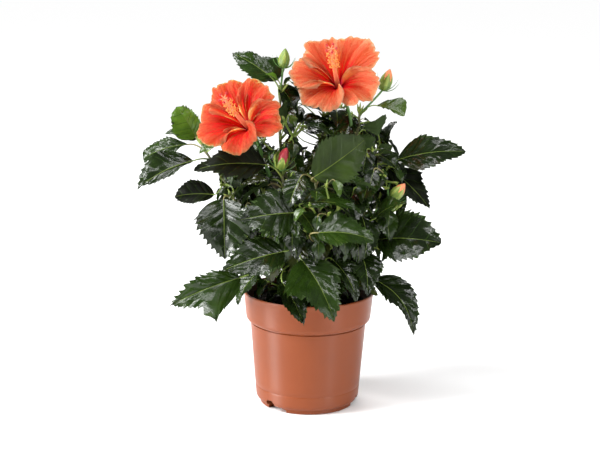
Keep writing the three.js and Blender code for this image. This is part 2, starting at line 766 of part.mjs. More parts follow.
function leafFits(leaf, owner) {
  const { clearOfLeaves, clearOfOwnLeaves, clearOfLimbs, ownLimbShare, stalkShare, ownStalkShare } = RULE;
  const blade = bladeProbes(leaf);
  const stalk = stalkProbes(leaf);
  return blade.every(insideCrown)
    && blade.every(clearOfSky)
    && isFree(blade, occupied.blades, clearOfLeaves, owner, clearOfOwnLeaves)
    && isFree(blade, occupied.limbs, clearOfLimbs, owner, ownLimbShare * clearOfLimbs)
    && isFree(blade, occupied.blooms, RULE.clearOfBlooms)
    && isFree(stalk, occupied.limbs, stalkShare * clearOfLimbs, owner, 0)
    && isFree(stalk, occupied.blades, stalkShare * clearOfLeaves, owner, ownStalkShare * clearOfLeaves);
}

// Leaves by the golden angle along one stem or twig, drooping more the lower they hang
function growLeaves(row, path, sizes, random) {
  const leaves = [];
  const length = path[0].distanceTo(path[path.length - 1]);
  const count = Math.max(2, Math.round(length / RULE.internode));
  const phase = random([0, 360]);
  for (let k = 0; k < count; k += 1) {
    const t = RULE.firstLeaf + ((1 - RULE.firstLeaf) * (k + 1)) / count;
    const stalk = random(RULE.stalk);
    const size = random(sizes);
    const share = random(RULE.widthShare);
    const roll = random([-RULE.rollRange, RULE.rollRange]);
    const tilt = random([-RULE.tiltRange, RULE.tiltRange]);
    for (let attempt = 0; attempt < RULE.tries; attempt += 1) {
      const along = curveTangent(path, t);
      const out = perpendicular(along, phase + k * RULE.goldenAngle + attempt * RULE.tryTurn);
      const heading = leanFrom(along, out, RULE.stalkAngle);
      const from = curvePoint(path, t);
      const foot = from.clone().addScaledVector(heading, stalk);
      const outward = foot.clone().sub(vec(CROWN.centre)).setZ(0).normalize();
      const level = heading.clone().setZ(0).normalize();
      level.addScaledVector(outward, RULE.outwardPull).normalize();
      const height = (foot.z - CROWN.overPot) / (CROWN.centre[2] + CROWN.above - CROWN.overPot);
      const poise = RULE.droopLow + (RULE.droopHigh - RULE.droopLow) * height + tilt;
      const droop = radians(Math.max(RULE.droopMost, poise - attempt * RULE.tryDroop));
      const shrink = 1 - RULE.tryShrink * attempt;
      const way = level.multiplyScalar(Math.cos(droop)).addScaledVector(UP, Math.sin(droop));
      const tip = foot.clone().addScaledVector(way, size * shrink);
      const leaf = makeLeaf(from, foot, tip, share * size * shrink, roll, 0);
      if (leafFits(leaf, row.name)) {
        leaves.push(leaf);
        occupy(occupied.blades, row.name, bladeProbes(leaf));
        occupy(occupied.limbs, row.name, stalkProbes(leaf));
        break;
      }
    }
  }
  return leaves;
}

// Settle limbs first, then blooms, then the posed leaves, then what the rule finds room for.

occupy(occupied.limbs, 'trunk', limbProbes(trunkPath));

for (const row of [...MASSES, ...BLOOMS]) {
  row.bough = boughPath(row);
  occupy(occupied.limbs, `bough_${row.name}`, limbProbes(row.bough));
}

for (const bloom of BLOOMS) {
  bloom.axes = bloomAxes(bloom);
  bloom.origin = vec(bloom.base);
  const { start, along } = stemStart(bloom);
  const lead = start.clone().addScaledVector(along, BLOOM_TWIG.lead * bloom.origin.distanceTo(start));
  const under = bloom.origin.clone().addScaledVector(bloom.axes.axis, -BLOOM_TWIG.straightUnder);
  bloom.twig = [start, lead, vec(bloom.via), under, bloom.origin.clone()];
  occupy(occupied.limbs, bloom.name, limbProbes(bloom.twig));
  for (let petal = 0; petal < PETAL.count; petal += 1) {
    for (const s of PETAL_PROBE_S) {
      const probes = PETAL_PROBE_T.map((t) => petalPoint(bloom, petal, s, t));
      occupy(occupied.blooms, bloom.name, probes);
    }
  }
  occupy(occupied.blooms, bloom.name, limbProbes(columnPath(bloom)));
}

for (const row of MASSES) {
  row.stem = stemPath(row);
  occupy(occupied.limbs, row.name, limbProbes(row.stem));
  row.leaves = row.posed.map((p) => {
    return makeLeaf(curvePoint(row.stem, p.at), vec(p.foot), vec(p.tip), p.width, p.roll, p.lobes);
  });
  row.knobs = row.buds.map((bud) => ({
    from: curvePoint(row.stem, bud.at),
    via: vec(bud.via),
    foot: vec(bud.foot),
    tip: vec(bud.tip),
    radius: bud.radius,
  }));
  for (const leaf of row.leaves) {
    occupy(occupied.blades, row.name, bladeProbes(leaf));
    occupy(occupied.limbs, row.name, stalkProbes(leaf));
  }
  for (const bud of row.knobs) {
    occupy(occupied.blades, row.name, limbProbes([bud.from, bud.via, bud.foot, bud.tip]));
  }
}

for (const row of MASSES) {
  row.random = randomSource(row.seed);
  row.side = growTwigs(row, row.stem, row.random);
}

const mostPaths = 1 + Math.max(...MASSES.map((row) => row.side.length));
for (const sizes of RULE.rounds) {
  for (let k = 0; k < mostPaths; k += 1) {
    for (const row of MASSES.filter((mass) => k <= mass.side.length)) {
      const path = k === 0 ? row.stem : row.side[k - 1];
      row.leaves.push(...growLeaves(row, path, sizes, row.random));
    }
  }
}

// Solids

function lathe(profile, sides) {
  return geometryToSolid(new THREE.LatheGeometry(profile.map(([r, z]) => new THREE.Vector2(r, z)), sides));
}

// Lathes turn about +Y, so what they make is stood up along +Z.
const stand = (solid) => solid.rotate([90, 0, 0]);

function arc(centre, radii, fromDegrees, toDegrees, steps) {
  return Array.from({ length: steps + 1 }, (_, k) => {
    const angle = radians(fromDegrees + ((toDegrees - fromDegrees) * k) / steps);
    return [centre[0] + radii[0] * Math.cos(angle), centre[1] + radii[1] * Math.sin(angle)];
  });
}

function potInsideRadius(height) {
  const rimFoot = POT.height - POT.rimDepth;
  const share = (height - POT.bodyFoot) / (rimFoot - POT.bodyFoot);
  return POT.bodyFootRadius + (POT.bodyTopRadius - POT.bodyFootRadius) * share - POT.wall;
}

// A block that cuts a notch of this size into the pot's foot, at an angle from the front
function notch({ width, depth, height, shift }, degrees) {
  const below = POT.wall;
  const geometry = new THREE.BoxGeometry(width, depth, height + below);
  geometry.translate(shift, -POT.footRadius, (height - below) / 2);
  return geometryToSolid(geometry).rotate([0, 0, degrees]);
}

function potSolid() {
  const rimFoot = POT.height - POT.rimDepth;
  const shoulder = POT.footRadius + POT.edge;
  const turnIn = arc(
    [shoulder, POT.bodyFoot],
    [POT.bodyFootRadius - shoulder, POT.bodyFoot - POT.footHeight],
    -90, 0, POT.arcSteps,
  );
  const rounding = arc(
    [POT.bodyTopRadius, rimFoot + POT.rimRounding],
    [POT.rimFootRadius - POT.bodyTopRadius, POT.rimRounding],
    -90, 0, POT.arcSteps,
  );
  const outside = [
    [0, 0],
    [POT.discRadius, 0],
    [POT.discRadius + 1, POT.channelDepth],
    [POT.channelRadius - 1, POT.channelDepth],
    [POT.channelRadius, 0],
    [POT.footRadius - POT.edge, 0],
    [POT.footRadius, POT.edge],
    [POT.footRadius, POT.footHeight - POT.edge],
    ...turnIn,
    ...rounding,
    [POT.rimRadius, POT.height - POT.lip],
    [POT.rimRadius - POT.edge, POT.height],
  ];
  const inside = [
    [POT.rimRadius - POT.wall, POT.height],
    [POT.rimFootRadius - POT.wall, rimFoot + POT.rimRounding + POT.wall],
    [potInsideRadius(rimFoot - POT.wall), rimFoot - POT.wall],
    [potInsideRadius(POT.bodyFoot), POT.bodyFoot],
    [potInsideRadius(POT.bodyFoot) - POT.floor, POT.floor],
    [0, POT.floor],
  ];
  let pot = stand(lathe([...outside, ...inside], POT.sides));
  for (let k = 0; k < DRAIN.count; k += 1) {
    const degrees = DRAIN.firstDegrees + (360 / DRAIN.count) * k;
    pot = pot.subtract(notch(OPENING, degrees)).subtract(notch(RING_GAP, degrees));
  }
  for (let k = 0; k < DRAIN.holeCount; k += 1) {
    const angle = (2 * Math.PI * k) / DRAIN.holeCount;
    const depth = 3 * POT.floor;
    const hole = new THREE.CylinderGeometry(DRAIN.holeRadius, DRAIN.holeRadius, depth, DRAIN.holeSides);
    hole.rotateX(Math.PI / 2);
    const radius = (POT.discRadius + POT.channelRadius) / 2;
    hole.translate(radius * Math.cos(angle), radius * Math.sin(angle), POT.floor / 2);
    pot = pot.subtract(geometryToSolid(hole));
  }
  return pot;
}

function soilSolid() {
  const rimFoot = POT.height - POT.rimDepth;
  const foot = POT.bodyFoot + POT.wall;
  const ledge = rimFoot - POT.wall;
  const upper = rimFoot + POT.rimRounding + POT.wall;
  return stand(lathe([
    [0, foot],
    [potInsideRadius(foot) - SOIL.clear, foot],
    [potInsideRadius(ledge) - SOIL.clear, ledge],
    [POT.rimFootRadius - POT.wall - SOIL.clear, upper],
    [POT.rimFootRadius - POT.wall - SOIL.clear, SOIL.top],
    [0.6 * POT.rimFootRadius, SOIL.top + 0.6 * SOIL.crown],
    [0.3 * POT.rimFootRadius, SOIL.top + SOIL.crown],
    [0, SOIL.top + SOIL.crown],
  ], SOIL.sides));
}

const material = (color, roughness) => new THREE.MeshStandardMaterial({ color, roughness, metalness: 0 });
const terracotta = material(0xb8704c, 0.5);
const compost = material(0x2b1f17, 0.95);
const bark = material(0x7a6a4a, 0.8);
const foliage = material(0x2f5a26, 0.4);
const petals = material(0xf26b4a, 0.6);

const shrub = new THREE.Group();
shrub.add(solidToMesh(potSolid(), 'pot', terracotta));
shrub.add(solidToMesh(soilSolid(), 'soil', compost));

const trunk = limb(trunkPath, (t) => trunkRadius(t), TRUNK.sides, TRUNK.steps);
shrub.add(solidToMesh(trunk, 'trunk', bark));

// Each bough starts inside the trunk and is cut back a gap clear of it and of earlier boughs.
let cutter = limb(trunkPath, (t) => trunkRadius(t, GAP), TRUNK.sides, TRUNK.steps);
for (const row of [...MASSES, ...BLOOMS]) {
  const bough = largest(limb(row.bough, taper(BOUGH), BOUGH.sides, BOUGH.steps).subtract(cutter));
  cutter = cutter.add(limb(row.bough, taper(BOUGH, GAP), BOUGH.sides, BOUGH.steps));
  shrub.add(solidToMesh(bough, `bough_${row.name}`, bark));
}

for (const row of MASSES) {
  const stem = limb(row.stem, taper(STEM), STEM.sides, STEM.steps);
  const twigs = row.side.map((path) => limb(path, taper(TWIG), TWIG.sides, TWIG.steps));
  const leaves = row.leaves.map(leafSolid);
  const buds = row.knobs.map(budSolid);
  shrub.add(solidToMesh(largest(join([stem, ...twigs, ...leaves, ...buds])), `leaves_${row.name}`, foliage));
}

for (const bloom of BLOOMS) {
  shrub.add(solidToMesh(bloomSolid(bloom), bloom.name, petals));
}

export default shrub;
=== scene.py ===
# A young hibiscus in its growing pot, dressed for the studio.
# Lengths in the tables are millimetres and angles degrees; the meshes are made in metres.
# +X is right, -Y the front that the blooms face, +Z up, with the pot's axis at the origin.

import math

import bmesh
import bpy
import numpy as np
from mathutils import Matrix, Vector, noise


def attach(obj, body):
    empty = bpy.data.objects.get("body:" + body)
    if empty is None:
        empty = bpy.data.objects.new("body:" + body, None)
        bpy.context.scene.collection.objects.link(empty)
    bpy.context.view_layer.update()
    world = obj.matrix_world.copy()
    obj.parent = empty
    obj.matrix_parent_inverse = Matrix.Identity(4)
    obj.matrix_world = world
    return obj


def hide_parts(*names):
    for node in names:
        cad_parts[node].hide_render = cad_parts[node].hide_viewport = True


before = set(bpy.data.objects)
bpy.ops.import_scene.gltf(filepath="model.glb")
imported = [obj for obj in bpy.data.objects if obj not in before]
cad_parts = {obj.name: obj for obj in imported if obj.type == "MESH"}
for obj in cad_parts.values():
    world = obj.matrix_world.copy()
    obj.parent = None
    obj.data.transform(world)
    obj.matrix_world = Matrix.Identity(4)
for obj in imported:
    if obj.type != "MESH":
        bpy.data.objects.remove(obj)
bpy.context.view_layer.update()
mm = 0.001
up = np.array([0.0, 0.0, 1.0])


# Small helpers: directions, curves and a repeatable source of numbers

def vec(p):
    return np.array(p, dtype=float)


def unit(v):
    return v / np.sqrt(np.sum(v * v, axis=-1, keepdims=True))


def flat(v):
    return v * np.array([1.0, 1.0, 0.0])


def randomSource(seed):
    state = [seed]

    def draw(low, high):
        state[0] = (state[0] * 1664525 + 1013904223) % 4294967296
        return low + (high - low) * (state[0] / 4294967296)

    draw(0, 1)
    draw(0, 1)
    return draw


def curvePoint(points, t):
    row = list(points)
    while len(row) > 1:
        row = [a + (b - a) * t for a, b in zip(row, row[1:])]
    return row[0]


def curveTangent(points, t):
    row = list(points)
    while len(row) > 2:
        row = [a + (b - a) * t for a, b in zip(row, row[1:])]
    return unit(row[1] - row[0])


def smoothstep(low, high, x):
    t = np.clip((x - low) / (high - low), 0, 1)
    return t * t * (3 - 2 * t)


# Meshes: points and faces are gathered in a bag, and a bag becomes one piece

def newBag():
    return {"points": [], "faces": [], "looks": [], "count": 0}


def addGrid(bag, grid, look=0, closed=False, flip=False):
    rows, columns = grid.shape[:2]
    across = columns if closed else columns - 1
    i = np.arange(rows - 1)[:, None]
    j = np.arange(across)[None, :]
    a = bag["count"] + i * columns + j
    b = bag["count"] + i * columns + (j + 1) % columns
    quads = np.stack([a, b, b + columns, a + columns], axis=-1).reshape(-1, 4)
    bag["points"].append(grid.reshape(-1, 3))
    bag["faces"].append(quads[:, ::-1] if flip else quads)
    bag["looks"].append(np.broadcast_to(look, (rows - 1, across)).reshape(-1))
    bag["count"] += rows * columns


# A tube along a curve, closed at both ends; relief swells it by a share at (length, angle)
def addTube(bag, path, radiusAt, sides=8, rings=10, look=0, relief=None):
    shares = np.linspace(0, 1, rings + 1)
    centres = np.array([curvePoint(path, t) for t in shares])
    tangents = np.array([curveTangent(path, t) for t in shares])
    start = up if abs(tangents[0][2]) < 0.8 else np.array([1.0, 0.0, 0.0])
    across = unit(np.cross(start, tangents[0]))
    angles = np.arange(sides) * 2 * math.pi / sides
    grid = []
    for k, t in enumerate(shares):
        across = unit(across - tangents[k] * np.dot(across, tangents[k]))
        third = np.cross(tangents[k], across)
        swell = relief(t, angles)[:, None] if relief else 1.0
        ring = np.cos(angles)[:, None] * across + np.sin(angles)[:, None] * third
        grid.append(centres[k] + ring * radiusAt(t) * swell)
    ends = [np.repeat(centres[k][None, :], sides, axis=0) for k in (0, -1)]
    addGrid(bag, np.array([ends[0], *grid, ends[1]]), look, closed=True)


def buildPiece(name, bag, materials, replaced=()):
    points = np.concatenate(bag["points"]) * mm
    faces = np.concatenate(bag["faces"])
    mesh = bpy.data.meshes.new(name)
    mesh.from_pydata(points.tolist(), [], faces.tolist())
    for material in materials:
        mesh.materials.append(material)
    mesh.polygons.foreach_set("material_index", np.concatenate(bag["looks"]).astype(np.int32))
    mesh.polygons.foreach_set("use_smooth", np.ones(len(faces), dtype=bool))
    mesh.update()
    piece = bpy.data.objects.new(name, mesh)
    bpy.context.scene.collection.objects.link(piece)
    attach(piece, "root")
    if replaced:
        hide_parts(*replaced)
    return piece


# Finishes: each is two near tones in soft patches, with a fine relief of its own

surfaceDetail = {"patchDetail": 5, "rampStops": (0.34, 0.66), "bumpDepth": 0.0006}


def surface(name, tones, roughness, patch, grain, relief, cells=False, **sockets):
    material = bpy.data.materials.new(name)
    material.use_nodes = True
    nodes = material.node_tree.nodes
    links = material.node_tree.links
    shader = nodes["Principled BSDF"]
    shader.inputs["Roughness"].default_value = roughness
    for socket, value in sockets.items():
        shader.inputs[socket].default_value = value
    where = nodes.new("ShaderNodeTexCoord")
    patches = nodes.new("ShaderNodeTexNoise")
    patches.inputs["Scale"].default_value = patch
    patches.inputs["Detail"].default_value = surfaceDetail["patchDetail"]
    ramp = nodes.new("ShaderNodeValToRGB")
    for k, at in enumerate(surfaceDetail["rampStops"]):
        ramp.color_ramp.elements[k].position = at
        ramp.color_ramp.elements[k].color = (*tones[k], 1)
    fine = nodes.new("ShaderNodeTexVoronoi" if cells else "ShaderNodeTexNoise")
    fine.inputs["Scale"].default_value = grain
    bump = nodes.new("ShaderNodeBump")
    bump.inputs["Strength"].default_value = relief
    bump.inputs["Distance"].default_value = surfaceDetail["bumpDepth"]
    links.new(where.outputs["Object"], patches.inputs["Vector"])
    links.new(where.outputs["Object"], fine.inputs["Vector"])
    links.new(patches.outputs[0], ramp.inputs["Fac"])
    links.new(ramp.outputs["Color"], shader.inputs["Base Color"])
    links.new(fine.outputs[0], bump.inputs["Height"])
    links.new(bump.outputs["Normal"], shader.inputs["Normal"])
    return material


# One material for each look of a finish, named after the part
def surfacesOf(part, finish, **settings):
    return [surface(part + look.capitalize(), tones, **settings) for look, tones in finish.items()]


leafFinishes = {
    "dark": ((0.0036, 0.0078, 0.0012), (0.0080, 0.0165, 0.0024)),
    "mid": ((0.0080, 0.0190, 0.0020), (0.0140, 0.0300, 0.0035)),
    "fresh": ((0.028, 0.054, 0.008), (0.046, 0.082, 0.012)),
    "young": ((0.050, 0.105, 0.008), (0.080, 0.155, 0.014)),
    "olive": ((0.018, 0.023, 0.004), (0.030, 0.036, 0.006)),
    # Near black and matte: painted shade for leaves that sit in shadow
    "shaded": ((0.0016, 0.0028, 0.0006), (0.0040, 0.0062, 0.0012)),
    "under": ((0.018, 0.032, 0.008), (0.030, 0.050, 0.014)),
    "vein": ((0.016, 0.035, 0.004), (0.027, 0.052, 0.007)),
    "rib": ((0.090, 0.130, 0.022), (0.125, 0.170, 0.032)),
    "soft": ((0.0105, 0.0200, 0.0022), (0.0195, 0.0350, 0.0040)),
}
leafLooks = list(leafFinishes)
leafGrain = {"patch": 60, "grain": 850, "relief": 0.22, "cells": True}
leafGlossAsUsual = (0.19, 0.33)  # roughness and specular level
leafGloss = {"under": (0.55, 0.08), "rib": (0.55, 0.08), "shaded": (0.55, 0.08), "soft": (0.42, 0.13)}


def leafMaterials():
    made = []
    for look, tones in leafFinishes.items():
        roughness, gloss = leafGloss.get(look, leafGlossAsUsual)
        sockets = {"Specular IOR Level": gloss}
        made.append(surface("leaf" + look.capitalize(), tones, roughness, **leafGrain, **sockets))
    return made


# The growth rule, the same as the solids follow

crown = {
    "centre": (2, 14, 214),
    "halfWidth": 97,
    "front": 106,
    "back": 128,
    "above": 88,
    "below": 108,
    "potClearRadius": 74,
    "overPot": 120,
    "overTable": 96,
}

sky = {  # light comes through the crown along these sights from the front
    "eye": (-9.6, -1350, 475),
    "spots": [(-9, 0, 303), (1, 0, 291), (-3, 0, 268), (-100, 0, 228), (108, 0, 215), (-34, 0, 267)],
    "radius": 9,
    "budRadius": 12,
    "stalkProbes": (0, 0.25, 0.5, 0.75),
}

bloomView = {"y": -24, "z": 246}  # kept free for the blooms, in front of and above these

rule = {
    "goldenAngle": 137.5,
    "internode": 9,
    "firstLeaf": 0.08,
    "tries": 10,
    "tryTurn": 47,
    "stalk": (10, 22),
    "stalkAngle": 58,
    "rounds": [(48, 62), (30, 42)],
    "widthShare": (0.56, 0.7),
    "droopLow": -48,
    "droopHigh": 12,
    "droopMost": -80,
    "tiltRange": 12,
    "tryDroop": 10,
    "tryShrink": 0.04,
    "outwardPull": 0.6,
    "rollRange": 24,
    "twigLength": (26, 40),
    "twigAngle": 50,
    "twigSpan": (0.2, 0.8),
    "twigProbes": (0.4, 0.7, 1),
    "clearOfOwnLeaves": 7,
    "clearOfLeaves": 7.5,
    "clearOfLimbs": 5.5,
    "clearOfBlooms": 7,
    "ownLimbShare": 0.6,
    "stalkShare": 0.7,
    "ownStalkShare": 0.4,
}

# Carried on to finer twigs and smaller leaves, which the solids leave out
finerRule = dict(
    rule,
    internode=6,
    tries=8,
    stalk=(6, 16),
    rounds=[(38, 52), (26, 38), (15, 24)],
    twigLength=(16, 28),
    clearOfOwnLeaves=3.6,
    clearOfLeaves=4.0,
    clearOfLimbs=2.6,
    clearOfBlooms=5,
    twigsEach=3,
)

# Added to a mass's own seed, so that each stage draws its own numbers
seedSteps = {"finer": 1000, "looks": 2000, "tufts": 4000, "column": 300}
stalkSeed = 31
soilSeed = 77

# Low shoots from the trunk's foot fill the mouth of the pot
lowShoots = {
    "count": 22,
    "length": (24, 62),
    "lean": (40, 86),
    "from": (0.02, 0.22),
    "bendAt": 0.5,
    "tipAt": 0.9,
    "rise": 0.12,
    "seed": 509,
    "mouthRadius": 57,
    "mouthFloor": 104.5,
    "overRim": 117,
    "reach": 84,
    "top": 176,
}

limbSizes = {
    "trunk": {"foot": 6.6, "tip": 3.9, "flare": 10.5, "flareHalf": 4.5, "flarePower": 1.5, "sunk": 3,
              "straight": 0.04},
    "bough": {"foot": 3.3, "tip": 2.3, "collar": 1.2},
    "stem": {"foot": 2.1, "tip": 1.2, "lead": 0.4, "sunk": 2},
    "twig": {"foot": 1.35, "tip": 0.85, "rise": 0.15},
    "petiole": {"foot": 0.85, "tip": 0.65, "bend": 0.45, "collar": 0.5, "slimmest": 0.45,
                "fullLength": 90, "sunk": 2},
    "bloomTwig": {"foot": 2.0, "tip": 1.2, "lead": 0.3, "straight": 12, "collar": 1.2},
    "gap": 0.3,
}


def taper(size, t):
    return size["foot"] + (size["tip"] - size["foot"]) * t


trunkPath = [vec(p) for p in [(0, 0, 104.3), (0, 0, 126), (-2, 3, 152), (4, 4, 180)]]

# One bough and its mass of foliage a row. A posed leaf: share of the stem, foot, tip, width,
# roll, lobes and look. A bud: share of the stem, stalk's bend, foot, tip, radius and look.
masses = [
    {"name": "left", "start": 0.55, "bend": (-38, 2, 166), "joint": (-64, 5, 196),
     "tip": (-108, 14, 258), "twigs": 2, "seed": 11, "posed": [
         (1.0, (-114, 15, 265), (-131, 8, 296), 28, -75, 0, "young"),
         (0.94, (-113, 25, 262), (-147, 40, 265), 20, -35, 0, "mid"),
         (0.86, (-122, 20, 257), (-168, 27, 242), 28, -45, 0, "mid"),
         (0.8, (-115, 0, 244), (-170, -12, 219), 34, -40, 0, "dark"),
         (0.6, (-94, -8, 212), (-134, -2, 208), 30, -50, 0, "dark")], "buds": []},
    {"name": "low_left", "start": 0.2, "bend": (-14, -6, 132), "joint": (-27, -14, 142),
     "tip": (-74, -34, 214), "twigs": 2, "seed": 23, "posed": [
         (1.0, (-83, -42, 215), (-82, -54, 158), 50, 0, 0.1, "dark"),
         (0.02, (-66, -45, 138), (-133, -62, 113), 61, -50, 0.9, "mid")], "buds": []},
    {"name": "front_left", "start": 0.3, "bend": (-7, -16, 138), "joint": (-11, -27, 150),
     "tip": (-27, -42, 238), "twigs": 2, "seed": 31, "posed": [
         (0.6, (-16, -66, 207), (-66, -84, 203), 50, -60, 0, "dark"),
         (0.1, (-24, -72, 171), (-83, -90, 157), 36, -55, 0, "dark"),
         (0.9, (-36, -40, 234), (-79, -52, 219), 22, 10, 0, "olive"),
         (0.98, (-43, -36, 247), (-112, -40, 244), 34, -50, 0, "dark"),
         (0.02, (-26, -56, 137), (-5, -82, 101), 24, 0, 0, "dark")],
     "buds": [(1.0, (-30, -42, 242), (-30, -47, 246), (-23, -55, 267), 6.4, "open")]},
    {"name": "front", "start": 0.12, "bend": (7, -16, 128), "joint": (10, -29, 139),
     "tip": (4, -60, 236), "twigs": 2, "seed": 43, "posed": [
         (1.0, (2, -72, 242), (50, -60, 276), 45, 50, 0.1, "mid"),
         (0.42, (7, -88, 193), (60, -86, 187), 38, 35, 0.1, "mid"),
         (0.1, (-8, -66, 162), (24, -94, 110), 56, 0, 0.8, "mid"),
         (0.06, (22, -48, 158), (47, -68, 124), 27, 0, 0, "dark"),
         (0.7, (-8, -72, 217), (42, -74, 213), 30, 15, 0, "mid")], "buds": []},
    {"name": "low_right", "start": 0.24, "bend": (17, -4, 134), "joint": (30, -10, 144),
     "tip": (54, -20, 214), "twigs": 2, "seed": 59, "posed": [
         (0.12, (50, -32, 162), (57, -60, 127), 30, 0, 0, "dark"),
         (0.06, (63, -17, 131), (104, -45, 83), 32, 10, 0.9, "dark"),
         (0.3, (66, -25, 173), (125, -50, 176), 48, 50, 0.1, "dark"),
         (0.75, (62, -37, 196), (90, -50, 216), 28, 25, 0, "mid")],
     "buds": [(0.8, (66, -24, 200), (79, -25, 213), (83, -26, 231), 6, "striped")]},
    {"name": "right", "start": 0.62, "bend": (34, 10, 178), "joint": (54, 14, 204),
     "tip": (68, 12, 256), "twigs": 2, "seed": 64, "posed": [
         (0.84, (83, 0, 247), (149, -15, 261), 34, 35, 0.2, "dark"),
         (0.64, (77, 10, 238), (121, 0, 200), 28, 10, 0.9, "dark"),
         (1.0, (66, -3, 271), (60, -14, 294), 28, 10, 0, "mid"),
         (0.95, (73, 9, 260), (83, 17, 284), 24, 0, 0, "dark")], "buds": []},
    {"name": "upper_right", "start": 0.86, "bend": (22, 14, 206), "joint": (34, 12, 230),
     "tip": (47, 4, 292), "twigs": 2, "seed": 71, "posed": [
         (0.96, (63, 0, 301), (90, -10, 293), 24, 20, 0, "mid"),
         (0.7, (32, 12, 281), (12, 24, 286), 25, 0, 0, "dark"),
         (0.35, (54, -6, 252), (50, -20, 277), 24, 0, 0, "dark")],
     "buds": [(1.0, (56, 0, 301), (69, -2, 316), (69, -5, 338), 6, "striped")]},
    {"name": "upper_left", "start": 0.8, "bend": (-16, 8, 200), "joint": (-24, 8, 226),
     "tip": (-30, 2, 312), "twigs": 2, "seed": 83, "posed": [
         (0.98, (-39, 2, 326), (-78, 12, 349), 27, -55, 0, "mid"),
         (0.5, (-27, -4, 280), (-24, -8, 306), 14, 60, 0, "dark")],
     "buds": [(1.0, (-30, 1, 320), (-28, 0, 336), (-26, 0, 355), 5.4, "green")]},
    {"name": "top_back", "start": 0.93, "bend": (6, 24, 208), "joint": (8, 30, 232),
     "tip": (14, 26, 284), "twigs": 3, "seed": 97, "posed": [
         (1.0, (10, 22, 292), (-12, 28, 297), 22, 0, 0, "dark"),
         (0.7, (-4, 24, 272), (34, 14, 275), 20, 30, 0, "dark")], "buds": []},
    {"name": "back_left", "start": 0.5, "bend": (-32, 28, 168), "joint": (-48, 42, 194),
     "tip": (-60, 56, 244), "twigs": 4, "seed": 103, "posed": [], "buds": []},
    {"name": "back", "start": 0.34, "bend": (-2, 24, 144), "joint": (-4, 40, 164),
     "tip": (-8, 74, 246), "twigs": 4, "seed": 113, "posed": [], "buds": []},
    {"name": "back_right", "start": 0.7, "bend": (28, 34, 182), "joint": (42, 50, 208),
     "tip": (58, 58, 252), "twigs": 4, "seed": 127, "posed": [], "buds": []},
    {"name": "low_back_left", "start": 0.08, "bend": (-14, 12, 124), "joint": (-24, 24, 136),
     "tip": (-66, 50, 186), "twigs": 4, "seed": 137, "posed": [], "buds": []},
    {"name": "low_back_right", "start": 0.16, "bend": (15, 14, 128), "joint": (25, 27, 139),
     "tip": (68, 54, 192), "twigs": 4, "seed": 149, "posed": [], "buds": []},
]

# How posed leaves are drawn, with the two sides of the midrib apart where a pair is given
# Some leaves take the near-black matte look, which is painted shade
drawnShapes = {
    ("left", 0): {"sideWidths": (0.75, 1.4), "fullness": (0.6, 0.6)},
    ("left", 1): {"sideWidths": (1.0, 0.85), "roll": -26},
    ("left", 2): {"sideWidths": (0.8, 0.9), "fullness": (0.8, 0.5)},
    ("left", 3): {"sideWidths": (1.05, 0.5), "fullness": (0.6, 0.75)},
    ("left", 4): {"sideWidths": (0.85, 0.75), "fullness": (0.6, 0.8), "look": "shaded"},
    ("low_left", 0): {"lobeSides": (0.1, 0.3), "sideWidths": (1.0, 1.1), "fold": 0.42, "roll": -40},
    ("low_left", 1): {"lobeSides": (0.0, 1.0), "sideWidths": (0.42, 0.9), "lobeRise": 0.1},
    ("front_left", 0): {"sideWidths": (0.8, 0.9)},
    ("front_left", 3): {"look": "shaded"},
    ("front", 0): {"sideWidths": (0.85, 1.05), "fullness": (0.6, 0.75), "roll": 101, "look": "soft"},
    ("front", 2): {"lobeSides": (0.7, 0.4), "sideWidths": (1.25, 0.65), "fold": 0.36},
    ("low_right", 1): {"lobeSides": (0.5, 0.0), "sideWidths": (0.6, 1.05), "roll": 40, "bend": 0.12},
    ("low_right", 2): {"fullness": (0.6, 0.75)},
    ("right", 0): {"sideWidths": (1.0, 0.9), "roll": 55, "fullness": (0.65, 0.75)},
    ("right", 1): {"lobeSides": (0.5, 0.5), "roll": 60, "look": "shaded"},
    ("right", 2): {"sideWidths": (0.75, 0.9), "fullness": (1.1, 0.35), "length": 20, "look": "fresh"},
    ("upper_right", 0): {"sideWidths": (0.25, 1.1), "roll": 40, "fullness": (1.4, 0.6), "look": "fresh"},
    ("upper_left", 0): {"sideWidths": (0.8, 1.1), "fullness": (0.45, 1.0)},
}
drawnBudTips = {("low_right", 0): (91, -27, 229), ("upper_right", 0): (75, -5, 337)}
drawnAsUsual = {"sideWidths": (1, 1), "fold": 0.26, "fullness": (0.62, 1.15), "bend": 0, "lobeRise": 0.17}

# Further leaves, close about the blooms and buds: share of the stem, foot, tip, width, roll and look
furtherLeaves = {
    "upper_left": [
        (0.9, (-31, 6, 318), (-16, 4, 292), 24, 0, "dark"),
        (0.6, (-26, 2, 300), (-20, -2, 270), 22, 0, "dark"),
        (0.97, (-33, 0, 324), (-45, -6, 331), 9, -30, "young"),
        (0.8, (-20, 6, 322), (-9, 8, 303), 12, 0, "olive"),
        (0.95, (-27, 2, 320), (-18, -4, 329), 6, 0, "young"),
        (0.95, (-33, 14, 323), (-50, 16, 345), 26, -60, "mid"),
        (0.35, (-26, -2, 264), (-8, -5, 258), 15, 60, "dark"),
    ],
    "top_back": [
        (0.9, (-14, 16, 297), (-9, 12, 281), 14, 10, "dark"),
        (0.95, (10, 22, 304), (20, 20, 284), 17, 0, "dark"),
        (0.6, (-16, 20, 282), (-13, 18, 262), 16, 0, "dark"),
        (0.5, (-15, 14, 278), (-8, 14, 295), 12, 30, "dark"),
        (0.6, (-12, 18, 281), (18, 18, 284), 13, 40, "dark"),
    ],
    "left": [
        (0.9, (-96, 2, 258), (-110, 0, 252), 12, -30, "fresh"),
    ],
    "low_left": [
        (0.1, (-52, -22, 136), (-70, -36, 108), 25, 0, "mid"),
    ],
    "right": [
        (0.95, (68, 2, 252), (80, 4, 262), 14, 60, "under"),
        (0.9, (74, 6, 262), (62, 14, 272), 15, 20, "dark"),
    ],
}

